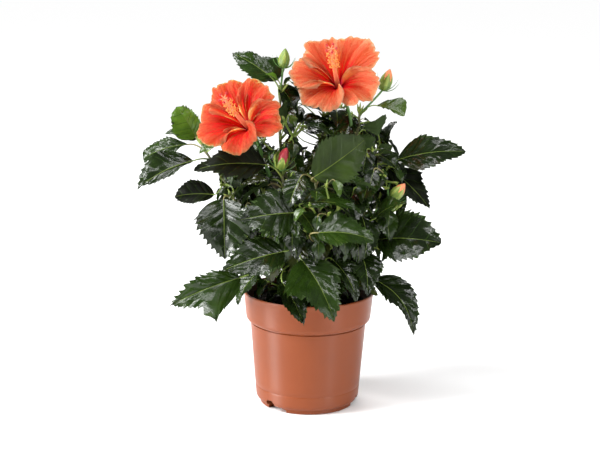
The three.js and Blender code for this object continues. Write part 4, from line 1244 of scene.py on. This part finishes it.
petalFinish = {
    "throat": ((0.150, 0.001, 0.008), (0.220, 0.001, 0.012)),
    "crimson": ((0.520, 0.001, 0.008), (0.570, 0.002, 0.010)),
    "red": ((0.470, 0.004, 0.006), (0.490, 0.007, 0.007)),
    "scarlet": ((0.360, 0.009, 0.006), (0.375, 0.013, 0.007)),
    "flame": ((0.295, 0.017, 0.006), (0.310, 0.022, 0.007)),
    "coral": ((0.300, 0.031, 0.009), (0.315, 0.038, 0.012)),
    "salmon": ((0.315, 0.050, 0.018), (0.335, 0.060, 0.022)),
    "edge": ((0.345, 0.084, 0.036), (0.370, 0.104, 0.047)),
}


def smoothNoise(x, draw, waves):
    total = np.zeros_like(x)
    for size, rate in petalWaves[waves]:
        total = total + size * np.sin(x * rate * draw(0.85, 1.15) + draw(0, 2 * math.pi))
    return total


def petalEdge(shape, k, t, draw):
    d = petalDetail
    edge = petal["radius"] * shape["reach"][k] * (1 - d["cornerLoss"] * np.abs(t) ** d["cornerPower"])
    edge = edge * (1 + d["scallop"] * smoothNoise(t, draw, "scallop"))
    for n in range(d["notches"]):
        at = draw(-0.95, 0.95)
        edge = edge * (1 - d["notch"] * draw(0.4, 1) * np.exp(-(((t - at) / d["notchHalf"]) ** 2)))
    pointAt = draw(-0.9, -0.5)
    return edge * (1 + shape["point"][k] * np.exp(-(((t - pointAt) / d["pointHalf"]) ** 2)))


def petalForm(bloom, k):
    d = petalDetail
    shape = petalSets[bloom["name"]]
    draw = randomSource(bloom["seed"] * 37 + k * 11)
    s = np.linspace(0, 1, d["rows"])[:, None] * np.ones((1, d["columns"]))
    t = np.linspace(-1, 1, d["columns"])[None, :] * np.ones((d["rows"], 1))
    breadth = d["throatBreadth"] + (1 - d["throatBreadth"]) * s ** petal["breadthPower"]
    side = smoothstep(d["curlFrom"], 1.0, t) * np.sin(math.pi * s ** 0.8) * shape["curl"][k]
    spread = (t - d["curlTurn"] * side) * math.radians(shape["half"][k]) * breadth
    angle = math.radians(shape["ways"][k]) + spread
    edge = petalEdge(shape, k, t, draw)
    radius = d["throat"] + (edge - d["throat"]) * s ** d["reachPower"]
    height = petal["depth"] * np.sin(0.5 * math.pi * s) ** petal["risePower"] - d["funnel"] * (1 - s) ** 6
    height = height - petal["recurve"] * np.maximum(0, s - petal["recurveFrom"]) * s
    height = height + t * d["overlap"] * s ** 0.5 - d["cup"] * np.minimum(t, 0) ** 2 * s
    height = height + d["wave"] * smoothNoise(t, draw, "wave") * s ** d["wavePower"]
    height = height + d["frill"] * smoothNoise(t, draw, "frill") * s ** d["frillPower"]
    pleats = smoothNoise(t + 0.05 * np.sin(s * 7 + 3 * t), draw, "pleat")
    height = height + d["pleat"] * pleats * smoothstep(*d["pleatRange"], s) * (0.6 + 0.6 * s)
    rateAlong, slant, rateAcross = d["crepeRates"]
    crepe = smoothNoise(s * rateAlong + slant * t, draw, "crepeAlong")
    crepe = crepe * smoothNoise(t * rateAcross, draw, "crepeAcross")
    height = height + d["crepe"] * crepe * smoothstep(*d["crepeRange"], s)
    height = height + d["curl"] * side
    return s, t, angle, radius, height, pleats, side, draw


def addPetal(bag, bloom, k):
    d = petalDetail
    s, t, angle, radius, height, pleats, side, draw = petalForm(bloom, k)
    points = bloomPoint(bloom, angle, radius, height)
    streak = smoothNoise(t, draw, "streak")
    speck = np.array([draw(-1, 1) for n in range(s.size)]).reshape(s.shape)
    # Painted highlight: the raised side folds and curls are lighter
    margin = smoothstep(*d["marginRange"], np.abs(t)) * smoothstep(0.12, 0.3, s) + side
    # Vein streaks with a painted highlight on fine ridges, and pleat ridges lighter and valleys darker as
    # painted highlight and shade
    ridgeLightAndVeins = d["streakVeinsAndHighlights"] * streak + d["pleatHighlightAndShade"] * pleats
    shade = s + ridgeLightAndVeins * (d["shadeFade"] - s) + d["speckShade"] * speck
    shade = shade + d["foldHighlight"] * margin - d["darkMiddle"] * (1 - np.abs(t)) * (1 - s)
    shade = shade - petalSets[bloom["name"]]["redder"] * smoothstep(*d["redRange"], s)
    looks = np.searchsorted(d["stops"], shade[:-1, :-1])
    thick = d["thickness"] * (1 - np.abs(t) ** 8) * (1 - s ** 12)
    addGrid(bag, points, looks)
    addGrid(bag, points - bloom["axes"][0] * thick[..., None], looks, flip=True)


stamens = {
    "count": 80,
    "reach": (2.8, 5.2),
    "rise": (0.5, 3.0),
    "stray": 15,
    "anther": 0.70,
    "antherSize": (0.7, 1.05),
    "antherLength": 1.9,
    "filament": 0.16,
    "pads": 5,
    "padStalk": {"foot": 0.55, "tip": 0.45},
    "padSpread": 4.6,
    "padRise": 2.5,
    "padRadius": 1.15,
    "padLength": 2.6,
    "fuzz": 26,
    "fuzzLength": 2.1,
    "fuzzHair": {"foot": 0.13, "tip": 0.052},
}

columnFinish = {
    "column": ((0.68, 0.150, 0.065), (0.74, 0.220, 0.105)),
    "anther": ((0.60, 0.160, 0.018), (0.70, 0.260, 0.040)),
    "pad": ((0.30, 0.003, 0.005), (0.42, 0.008, 0.009)),
}
antherLook, padLook = 1, 2


def addKnob(bag, centre, axis, radius, length, look, bumps=0.12, seed=0):
    path = [centre - axis * length / 2, centre, centre + axis * length / 2]

    def profile(t):
        return radius * math.sqrt(max(0.0, 1 - (2 * t - 1) ** 2)) + 0.01

    def relief(t, angles):
        return 1 + bumps * np.sin(angles * 3 + t * 9 + seed)

    addTube(bag, path, profile, 8, 6, look, relief)


def anyWay(draw):
    return vec((draw(-1, 1), draw(-1, 1), draw(-1, 1)))


def addStamens(bag, path, draw):
    d = stamens
    for k in range(d["count"]):
        t = column["beardFrom"] + (column["beardTo"] - column["beardFrom"]) * (k + 0.5) / d["count"]
        along = curveTangent(path, t)
        out = perpendicular(along, k * rule["goldenAngle"] + draw(-d["stray"], d["stray"]))
        reach = draw(*d["reach"])
        start = curvePoint(path, t)
        end = start + out * reach + along * draw(*d["rise"])
        addTube(bag, [start, start + out * reach * 0.6, end], lambda s: d["filament"], sides=5, rings=4)
        turn = unit(anyWay(draw) + along * 0.3)
        addKnob(bag, end, turn, d["anther"] * draw(*d["antherSize"]), d["antherLength"], antherLook, seed=k)


def addPad(bag, end, axis, out, draw):
    d = stamens
    pad = end + out * d["padSpread"] + axis * d["padRise"]
    path = [end, end + axis * 2.5 + out * 1.5, pad]
    addTube(bag, path, lambda s: taper(d["padStalk"], s), sides=7, rings=8)
    addKnob(bag, pad, unit(out + axis), d["padRadius"], d["padLength"], padLook, bumps=0.05)
    for f in range(d["fuzz"]):
        way = unit(anyWay(draw) + (out + axis) * 0.4)
        hair = [pad, pad + way * d["fuzzLength"]]
        addTube(bag, hair, lambda s: taper(d["fuzzHair"], s), sides=4, rings=2, look=padLook)


def makeColumn(bloom, materials):
    bag = newBag()
    draw = randomSource(bloom["seed"] + seedSteps["column"])
    path = columnPath(bloom)
    axis, right, top = bloom["axes"]
    addTube(bag, path, lambda t: taper(column, t), sides=14, rings=30)
    addStamens(bag, path, draw)
    for k in range(stamens["pads"]):
        angle = 2 * math.pi * k / stamens["pads"]
        addPad(bag, path[-1], axis, right * math.cos(angle) + top * math.sin(angle), draw)
    return buildPiece("column_" + bloom["name"], bag, materials, [bloom["name"]])


# Buds, calyx cups and the narrow bracts round them

budDetail = {
    "sepals": 5,
    "sepalRidge": 0.07,
    "sepalThickness": 0.4,
    "sepalHalfTurn": 0.62,  # radians at the sepal's foot
    "sepalRise": (0.05, 0.62),  # of the bud's length: start, and gain by the tip
    "cupFlare": (0.62, 1.5),  # of the cup's radius, likewise
    "paleRidge": 0.86,
    "paleFrom": 0.25,
    "shownFrom": {"green": 0.5, "striped": 0.5, "open": 0.3},
    "shownAs": {"green": "sepal", "striped": "blush", "open": "crimson"},
    "furl": 1.1,  # twist of an opening bud's petals
    "bracts": 7,
    "bractLength": 0.8,
    "bractHalf": 0.45,
    "bractRing": 0.6,
    "stalk": 1.0,
    "stalkSwell": 0.45,
    "rings": 26,
    "sides": 40,
    "profile": [  # share of the length and of the radius
        (0, 0.42), (0.06, 0.7), (0.2, 0.94), (0.45, 1.0), (0.62, 0.86), (0.78, 0.6), (0.92, 0.3), (1, 0.06)],
}

# The calyx of an open bloom, flared like a cup under its petals
calyx = {"sunk": 3, "radius": 5.6, "length": 26, "bractRing": 4.2, "bractLength": 13}

# Small pointed scales at the end of each stem and of each twig
tufts = {
    "stem": {"count": 7, "lean": (5, 55), "length": (6, 12)},
    "twig": {"count": 3, "lean": (5, 40), "length": (4, 8)},
    "half": 1.1,
    "skyProbe": 7,
}

budFinish = {
    "sepal": ((0.090, 0.145, 0.014), (0.135, 0.195, 0.024)),
    "sepalPale": ((0.180, 0.230, 0.034), (0.235, 0.285, 0.050)),
    "bract": ((0.045, 0.120, 0.020), (0.080, 0.180, 0.035)),
    "crimson": ((0.200, 0.006, 0.016), (0.400, 0.030, 0.040)),
    "blush": ((0.500, 0.130, 0.060), (0.620, 0.220, 0.080)),
}
budLooks = list(budFinish)
sepalLook, paleLook, bractLook = [budLooks.index(look) for look in ("sepal", "sepalPale", "bract")]


def budFrame(foot, tip):
    along = unit(tip - foot)
    across = unit(np.cross(up if abs(along[2]) < 0.8 else np.array([1.0, 0, 0]), along))
    return along, across, np.cross(along, across)


def addBracts(bag, foot, axes, ringRadius, length):
    along, across, third = axes
    d = budDetail
    for k in range(d["bracts"]):
        angle = 2 * math.pi * (k + 0.3) / d["bracts"]
        out = across * math.cos(angle) + third * math.sin(angle)
        start = foot + out * ringRadius * 0.7
        bend = start + (out * 0.5 + along * 0.15) * length
        path = [start, bend, start + (out * 0.62 + along * 0.75) * length]
        addTube(bag, path, lambda t: d["bractHalf"] * (1 - 0.85 * t * t), sides=6, rings=8, look=bractLook)


def addBudBody(bag, foot, tip, radius, look):
    d = budDetail
    along, across, third = budFrame(foot, tip)
    length = np.linalg.norm(tip - foot)
    s = np.linspace(0, 1, d["rings"])[:, None]
    angle = (np.arange(d["sides"]) * 2 * math.pi / d["sides"])[None, :]
    width = np.interp(s, [at for at, share in d["profile"]], [share for at, share in d["profile"]]) * radius
    around = angle + (d["furl"] * s * s if look == "open" else 0.0)
    ridge = np.abs(np.cos(d["sepals"] / 2 * around)) * np.ones_like(s)
    width = width * (1 + d["sepalRidge"] * (ridge - 0.5) * 2)
    if look == "open":
        folds = 0.12 * np.cos(2 * d["sepals"] * around) * smoothstep(0.5, 0.9, s)
        width = width * (1 - 0.20 * smoothstep(0.3, 0.6, s)) * (1 + folds)
    points = (foot + along * (s * length)[..., None] * np.ones((1, d["sides"], 1))
              + across * (np.cos(angle) * width)[..., None] + third * (np.sin(angle) * width)[..., None])
    looks = np.full((d["rings"] - 1, d["sides"]), sepalLook)
    looks[(ridge[:-1] > d["paleRidge"]) & (s[:-1] > d["paleFrom"])] = paleLook
    looks[s[:-1] > d["shownFrom"][look] + 0.3 * ridge[:-1]] = budLooks.index(d["shownAs"][look])
    addGrid(bag, points, looks, closed=True)
    return along, across, third


def addOpenSepals(bag, foot, axes, radius, length, flared=False):
    along, across, third = axes
    s = np.linspace(0, 1, 12)[:, None]
    w = np.linspace(-1, 1, 9)[None, :]
    low, gain = budDetail["sepalRise"]
    rise = length * (low + gain * s) * np.ones_like(w)
    out = radius * (0.75 + 0.55 * np.sin(s * 2.2)) * (1.02 + 0.10 * s)
    if flared:
        narrow, gain = budDetail["cupFlare"]
        out = radius * (narrow + gain * s)
    look = np.full((11, 8), paleLook)
    look[:, 2:6] = sepalLook
    for k in range(budDetail["sepals"]):
        angle = 2 * math.pi * k / budDetail["sepals"]
        turn = angle + w * budDetail["sepalHalfTurn"] * (1 - s ** 1.6)
        points = (foot + along * rise[..., None] + across * (np.cos(turn) * out)[..., None]
                  + third * (np.sin(turn) * out)[..., None])
        outward = across * math.cos(angle) + third * math.sin(angle)
        addGrid(bag, points, look)
        addGrid(bag, points - outward * budDetail["sepalThickness"], look, flip=True)


def addBud(bag, row, k):
    at, via, foot, tip, radius, look = row["buds"][k]
    foot, tip = vec(foot), vec(drawnBudTips.get((row["name"], k), tip))
    d = budDetail
    path = [curvePoint(row["stem"], at), vec(via), foot, foot + (tip - foot) * 0.1]
    addTube(bag, path, lambda t: d["stalk"] + d["stalkSwell"] * smoothstep(0.8, 1, t),
            sides=10, rings=20, look=bractLook)
    axes = addBudBody(bag, foot, tip, radius, look)
    length = float(np.linalg.norm(tip - foot))
    if look == "open":
        addOpenSepals(bag, foot, axes, radius, length)
    addBracts(bag, foot, axes, radius * d["bractRing"], d["bractLength"] * length)


def addCalyx(bag, bloom):
    axes = bloom["axes"]
    foot = bloom["origin"] - axes[0] * calyx["sunk"]
    twig = limbSizes["bloomTwig"]
    addOpenSepals(bag, foot, axes, calyx["radius"], calyx["length"], flared=True)
    addBracts(bag, foot, axes, calyx["bractRing"], calyx["bractLength"])
    addTube(bag, bloom["twig"], lambda t: taper(twig, t) + twig["collar"] * smoothstep(0.92, 1, t),
            sides=12, rings=40, look=bractLook)


def makeBuds():
    materials = surfacesOf("bud", budFinish, roughness=0.5, patch=120, grain=800, relief=0.3)
    bag = newBag()
    for row in masses:
        for k in range(len(row["buds"])):
            addBud(bag, row, k)
        addTufts(bag, row)
    for bloom in blooms:
        addCalyx(bag, bloom)
    replaced = ["leaves_" + row["name"] for row in masses if row["buds"]] + [b["name"] for b in blooms]
    buildPiece("buds_and_calyces", bag, materials, replaced)


def addTufts(bag, row):
    draw = randomSource(row["seed"] + seedSteps["tufts"])
    for path in [row["stem"], *row["side"], *row["fine"]]:
        tip = path[-1]
        along = curveTangent(path, 1)
        if not clearOfSky(np.array([tip, tip + along * tufts["skyProbe"]])):
            continue
        d = tufts["stem" if path is row["stem"] else "twig"]
        for k in range(d["count"]):
            way = unit(leanFrom(along, perpendicular(along, draw(0, 360)), draw(*d["lean"])))
            length = draw(*d["length"])
            addTube(bag, [tip - along, tip + way * length * 0.5, tip + way * length],
                    lambda t: tufts["half"] * math.sin(math.pi * (0.15 + 0.8 * t)) ** 0.8,
                    sides=6, rings=6, look=paleLook if k % 2 == 0 else sepalLook)


def makeBlooms():
    thin = {"Specular IOR Level": 0.09, "Subsurface Weight": 0.8, "Subsurface Radius": (1.0, 0.3, 0.2),
            "Subsurface Scale": 0.0026}
    fleshy = {"Subsurface Weight": 0.2, "Subsurface Scale": 0.001}
    finishes = surfacesOf("petal", petalFinish, roughness=0.55, patch=300, grain=1100, relief=0.35, **thin)
    parts = surfacesOf("bloom", columnFinish, roughness=0.55, patch=150, grain=900, relief=0.3, **fleshy)
    for bloom in blooms:
        for k in range(petal["count"]):
            bag = newBag()
            addPetal(bag, bloom, k)
            buildPiece(f"petal_{bloom['name']}_{k + 1}", bag, finishes, [bloom["name"]])
        makeColumn(bloom, parts)


makeBlooms()
makeBuds()
print("blooms and buds made")


# The pot

potSizes = {
    "height": 115,
    "rimRadius": 65,
    "rimFootRadius": 62.6,
    "rimDepth": 30,
    "rimRounding": 6,
    "rimEdge": 0.3,
    "rimEdgeDrop": 2.6,
    "lipDrop": 1.9,
    "lipRounding": 0.9,
    "innerRounding": 0.6,
    "bodyTopRadius": 57.9,
    "bodyFootRadius": 51.9,
    "bodyFoot": 10,
    "bodyStep": 0.9,
    "crease": [(-0.9, -1.3), (-0.95, 0.1), (0.2, 0)],  # out from the body, up from the rim's foot
    "creaseDrop": 1.8,
    "footRadius": 47.5,
    "footHeight": 4.2,
    "footRounding": 0.8,
    "footStep": 0.5,
    "wall": 1.5,
    "mouldLine": [(0.03, 18.4), (-0.14, 18.7), (-0.14, 19.1), (0.06, 19.4)],  # out, height
    "floor": 5,
    "floorStep": 5,
    "disc": 30,
    "discLift": 0.2,
    "channel": 40,
    "channelDepth": 2.4,
    "segments": 192,
    "notches": 3,
    "firstNotch": -46,
    "notchRounding": 1.6,
    "notchBelow": 4,
    "opening": (11, 18, 10, 0),  # width, depth, height, shift to the right
    "ringGap": (23, 15, 4.2, 5),
    "holes": 6,
    "holeRadius": 4,
    "drillLength": 20,
    "sharpFrom": 38,
    "tones": ((0.178, 0.0385, 0.0086), (0.190, 0.0420, 0.0096)),
}


def arcPoints(cx, cz, rx, rz, first, last, steps):
    angles = np.radians(np.linspace(first, last, steps + 1))
    return [(cx + rx * math.cos(a), cz + rz * math.sin(a)) for a in angles]


def slopePoints(foot, top, steps):
    return [(foot[0] + (top[0] - foot[0]) * k / steps, foot[1] + (top[1] - foot[1]) * k / steps)
            for k in range(1, steps + 1)]


def potFoot():
    p = potSizes
    disc, channel, foot, floor = p["disc"], p["channel"], p["footRadius"], p["discLift"]
    bead, step, rise = p["footRounding"], p["footStep"], p["footHeight"]
    corner = foot + p["bodyStep"]
    return [
        (0, floor), (disc - 0.6, floor), (disc, 0.6), (disc + 1, p["channelDepth"]),
        (channel - 1, p["channelDepth"]), (channel, 0.5), (channel + 0.6, 0),
        *arcPoints(foot - bead, bead, bead, bead, -90, 0, 4),
        (foot, rise - p["bodyStep"]),
        *arcPoints(foot + step, rise - step, step, step, 180, 90, 3),
        *arcPoints(corner, p["bodyFoot"], p["bodyFootRadius"] - corner, p["bodyFoot"] - rise - floor,
                   -80, 0, 8)]


def potProfile():
    p = potSizes
    wall, top, body = p["wall"], p["height"], p["bodyTopRadius"]
    rimFoot = top - p["rimDepth"]
    lip, inner = p["lipRounding"], p["innerRounding"]
    side = slopePoints((p["bodyFootRadius"], p["bodyFoot"]), (body, rimFoot - p["creaseDrop"]), 10)
    side[1:1] = [(side[0][0] + out, z) for out, z in p["mouldLine"]]
    inward, upward, under = p["crease"]
    crease = [(body + out, rimFoot + rise) for out, rise in (inward, upward)]
    swell = arcPoints(body + under[0], rimFoot + p["rimRounding"], p["rimFootRadius"] - body - under[0],
                      p["rimRounding"], -90, 0, 10)
    rim = slopePoints((p["rimFootRadius"], rimFoot + p["rimRounding"]),
                      (p["rimRadius"] - p["rimEdge"], top - p["rimEdgeDrop"]), 6)
    edge = [(p["rimRadius"], top - p["lipDrop"]),
            *arcPoints(p["rimRadius"] - lip, top - lip, lip, lip, 0, 90, 5),
            *arcPoints(p["rimRadius"] - wall, top - inner, inner, inner, 90, 180, 4)]
    inside = [(p["rimFootRadius"] - wall, rimFoot + p["rimRounding"] + wall),
              (body - wall, rimFoot - wall), (p["bodyFootRadius"] - wall, p["bodyFoot"]),
              (p["bodyFootRadius"] - wall - p["floorStep"], p["floor"]), (0, p["floor"])]
    return potFoot() + side + crease + swell + rim + edge + inside


def blockAt(size, degrees):
    width, depth, height, shift = size
    below = potSizes["notchBelow"]
    block = bmesh.new()
    bmesh.ops.create_cube(block, size=1.0)
    bmesh.ops.scale(block, vec=(width * mm, depth * mm, (height + below) * mm), verts=block.verts)
    place = (shift * mm, -potSizes["footRadius"] * mm, (height - below) / 2 * mm)
    bmesh.ops.translate(block, vec=place, verts=block.verts)
    upper = [e for e in block.edges if abs(e.verts[0].co.z - e.verts[1].co.z) < 1e-6
             and e.verts[0].co.z > 0 and abs(e.verts[0].co.x - e.verts[1].co.x) < 1e-6]
    bmesh.ops.bevel(block, geom=upper, offset=potSizes["notchRounding"] * mm, segments=3, affect="EDGES")
    turn = Matrix.Rotation(math.radians(degrees), 3, "Z")
    bmesh.ops.rotate(block, cent=(0, 0, 0), matrix=turn, verts=block.verts)
    return block


def drillAt(degrees):
    p = potSizes
    drill = bmesh.new()
    bmesh.ops.create_cone(drill, cap_ends=True, segments=24, radius1=p["holeRadius"] * mm,
                          radius2=p["holeRadius"] * mm, depth=p["drillLength"] * mm)
    reach = (p["disc"] + p["channel"]) / 2 * mm
    angle = math.radians(degrees)
    bmesh.ops.translate(drill, vec=(reach * math.cos(angle), reach * math.sin(angle), 0), verts=drill.verts)
    return drill


def cutterPiece(name, shapes):
    mesh = bpy.data.meshes.new(name)
    whole = bmesh.new()
    for shape in shapes:
        part = bpy.data.meshes.new("part")
        shape.to_mesh(part)
        whole.from_mesh(part)
        bpy.data.meshes.remove(part)
    whole.to_mesh(mesh)
    cutter = bpy.data.objects.new(name, mesh)
    bpy.context.scene.collection.objects.link(cutter)
    return cutter


def cutAway(piece, name, shapes):
    cutter = cutterPiece(name, shapes)
    cut = piece.modifiers.new(name, "BOOLEAN")
    cut.operation = "DIFFERENCE"
    cut.solver = "EXACT"
    cut.object = cutter
    applyModifiers(piece)
    bpy.data.objects.remove(cutter)


def makePot():
    p = potSizes
    profile = np.array(potProfile())
    angles = np.arange(p["segments"]) * 2 * math.pi / p["segments"]
    grid = np.stack([profile[:, 0, None] * np.cos(angles), profile[:, 0, None] * np.sin(angles),
                     profile[:, 1, None] * np.ones_like(angles)], axis=-1)
    bag = newBag()
    addGrid(bag, grid, closed=True)
    satin = {"Specular IOR Level": 0.33, "Anisotropic": 0.85, "Anisotropic Rotation": 0.25}
    material = surface("terracottaPlastic", p["tones"], roughness=0.42, patch=26, grain=1400, relief=0.06,
                       **satin)
    pot = buildPiece("pot_shell", bag, [material], ["pot"])
    weld = bmesh.new()
    weld.from_mesh(pot.data)
    bmesh.ops.remove_doubles(weld, verts=weld.verts, dist=1e-6)
    bmesh.ops.recalc_face_normals(weld, faces=weld.faces)
    weld.to_mesh(pot.data)
    turns = [p["firstNotch"] + 360 / p["notches"] * k for k in range(p["notches"])]
    cutAway(pot, "openingCutter", [blockAt(p["opening"], turn) for turn in turns])
    cutAway(pot, "gapCutter", [blockAt(p["ringGap"], turn) for turn in turns])
    cutAway(pot, "holeCutter", [drillAt(360 / p["holes"] * k) for k in range(p["holes"])])
    pot.data.polygons.foreach_set("use_smooth", np.ones(len(pot.data.polygons), dtype=bool))
    pot.data.set_sharp_from_angle(angle=math.radians(p["sharpFrom"]))


makePot()
print("pot made")


# The compost: a rough crumbly surface inside the rim

soilLook = {
    "top": 101,
    "crown": 3,
    "sunk": 1.5,
    "clear": 0.6,
    "skirt": 94,
    "rings": 60,
    "segments": 160,
    "rough": 2.2,
    "lumps": 0.09,
    "lumpsAt": 3.1,
    "lumpSettings": (0.8, 2.1, 4),  # roughness, step and count of the noise's layers
    "crumbs": 900,
    "crumbReach": 0.97,
    "crumbSize": (0.6, 2.3),
    "fibres": 130,
    "fibreReach": 0.93,
    "fibreLength": (2, 6),
    "fibreHalf": 0.28,
    "fibreLift": 0.9,
    # Dark as compost is, and darker still as painted shade for the pot's mouth under the foliage
    "tones": ((0.004, 0.003, 0.002), (0.016, 0.010, 0.007)),
    "fibreTones": ((0.060, 0.040, 0.024), (0.110, 0.080, 0.050)),
}


def soilRoughness(x, y):
    p = Vector((x * soilLook["lumps"], y * soilLook["lumps"], soilLook["lumpsAt"]))
    return soilLook["rough"] * noise.fractal(p, *soilLook["lumpSettings"])


def soilDome(share):
    return soilLook["top"] + soilLook["crown"] * (1 - share ** 2) - soilLook["sunk"]


def soilSpot(edge, reachShare, draw):
    reach = edge * reachShare * math.sqrt(draw(0, 1))
    angle = draw(0, 2 * math.pi)
    x, y = reach * math.cos(angle), reach * math.sin(angle)
    return vec((x, y, soilDome(reach / edge) + soilRoughness(x, y)))


def addCrumb(bag, edge, draw, seed):
    spot = soilSpot(edge, soilLook["crumbReach"], draw)
    size = draw(*soilLook["crumbSize"])
    axis = unit(vec((draw(-1, 1), draw(-1, 1), draw(-0.6, 1))))
    addKnob(bag, spot + up * 0.25 * size, axis, size * draw(0.6, 1), 2 * size, 0, bumps=0.25, seed=seed)


def addFibre(bag, edge, draw):
    d = soilLook
    start = soilSpot(edge, d["fibreReach"], draw) + up * d["fibreLift"]
    way = vec((draw(-1, 1), draw(-1, 1), 0)) * draw(*d["fibreLength"])
    path = [start, start + way * 0.5 + up * draw(0, 1.6), start + way * 0.8]
    addTube(bag, path, lambda t: d["fibreHalf"], sides=5, rings=5, look=1)


def makeSoil():
    d = soilLook
    draw = randomSource(soilSeed)
    bag = newBag()
    edge = potSizes["rimFootRadius"] - potSizes["wall"] - d["clear"]
    share = np.linspace(0, 1, d["rings"])[:, None]
    angles = np.arange(d["segments"]) * 2 * math.pi / d["segments"]
    x = share * edge * np.cos(angles)
    y = share * edge * np.sin(angles)
    z = soilDome(share) + np.vectorize(soilRoughness)(x, y)
    grid = np.stack([x, y, z], axis=-1)
    skirt = np.stack([x[-1] * 0.98, y[-1] * 0.98, np.full_like(x[-1], d["skirt"])], axis=-1)[None]
    addGrid(bag, np.concatenate([grid, skirt]), closed=True)
    for k in range(d["crumbs"]):
        addCrumb(bag, edge, draw, k)
    for k in range(d["fibres"]):
        addFibre(bag, edge, draw)
    materials = [surface("compost", d["tones"], roughness=0.95, patch=180, grain=900, relief=0.8),
                 surface("fibre", d["fibreTones"], roughness=0.9, patch=200, grain=900, relief=0.5)]
    buildPiece("compost_surface", bag, materials, ["soil"])


makeSoil()
print("compost made")


# The stage: pale floor, soft daylight, and the camera where the photograph was taken from

stage = {
    "floor": 30.0,
    "floorDrop": 0.0002,
    "floorTones": ((0.97, 0.97, 0.97), (0.97, 0.97, 0.97)),
    "world": 0.19,
    "sun": {"strength": 3.8, "angle": 26, "from": (-1.1, -0.35, 1.2)},
    "panels": [  # place, size, power
        ((-1.42, -0.5, 0.26), (0.5, 0.5), 31),
        ((-0.35, 1.25, 1.25), (1.3, 0.3), 15),
        ((-0.15, -0.62, 1.45), (1.0, 0.26), 11),
        ((1.1, -1.0, 0.4), (0.3, 0.7), 8),
        ((0.55, -0.95, 1.15), (0.4, 0.3), 8),
    ],
    "panelTarget": (0, 0, 0.2),
    "eye": (-0.0096, -1.35, 0.475),
    "pitch": 12.29,
    "roll": 0.8,
    "lens": 83.68,
    "sensor": 36,
}


def placeLight(name, light, place, target):
    lamp = bpy.data.objects.new(name, light)
    lamp.location = place
    lamp.rotation_euler = (Vector(target) - Vector(place)).to_track_quat("-Z", "Y").to_euler()
    bpy.context.scene.collection.objects.link(lamp)


def makeFloor():
    mesh = bpy.data.meshes.new("floor")
    half = stage["floor"] / 2
    corners = [(-half, -half, 0), (half, -half, 0), (half, half, 0), (-half, half, 0)]
    mesh.from_pydata(corners, [], [(0, 1, 2, 3)])
    floor = bpy.data.objects.new("floor", mesh)
    floor.location.z = -stage["floorDrop"]
    bpy.context.scene.collection.objects.link(floor)
    pale = surface("paleFloor", stage["floorTones"], roughness=0.9, patch=4, grain=40, relief=0.02)
    mesh.materials.append(pale)


def makeLights():
    world = bpy.data.worlds.new("studio")
    world.use_nodes = True
    background = world.node_tree.nodes["Background"]
    background.inputs["Color"].default_value = (1, 1, 1, 1)
    background.inputs["Strength"].default_value = stage["world"]
    bpy.context.scene.world = world
    sun = bpy.data.lights.new("sun", "SUN")
    sun.energy = stage["sun"]["strength"]
    sun.angle = math.radians(stage["sun"]["angle"])
    placeLight("sun", sun, stage["sun"]["from"], (0, 0, 0))
    for k, (place, size, power) in enumerate(stage["panels"]):
        panel = bpy.data.lights.new(f"panel{k}", "AREA")
        panel.shape = "RECTANGLE"
        panel.size, panel.size_y = size
        panel.energy = power
        placeLight(f"panel{k}", panel, place, stage["panelTarget"])
    bpy.context.scene.view_settings.view_transform = "Standard"


def makeCamera():
    camera = bpy.data.objects.new("camera", bpy.data.cameras.new("camera"))
    camera.data.lens = stage["lens"]
    camera.data.sensor_width = stage["sensor"]
    pitch = Matrix.Rotation(math.radians(90 - stage["pitch"]), 4, "X")
    roll = Matrix.Rotation(math.radians(stage["roll"]), 4, "Z")
    camera.matrix_world = Matrix.Translation(stage["eye"]) @ pitch @ roll
    bpy.context.scene.collection.objects.link(camera)
    bpy.context.scene.camera = camera


makeFloor()
makeLights()
makeCamera()
print("stage set")
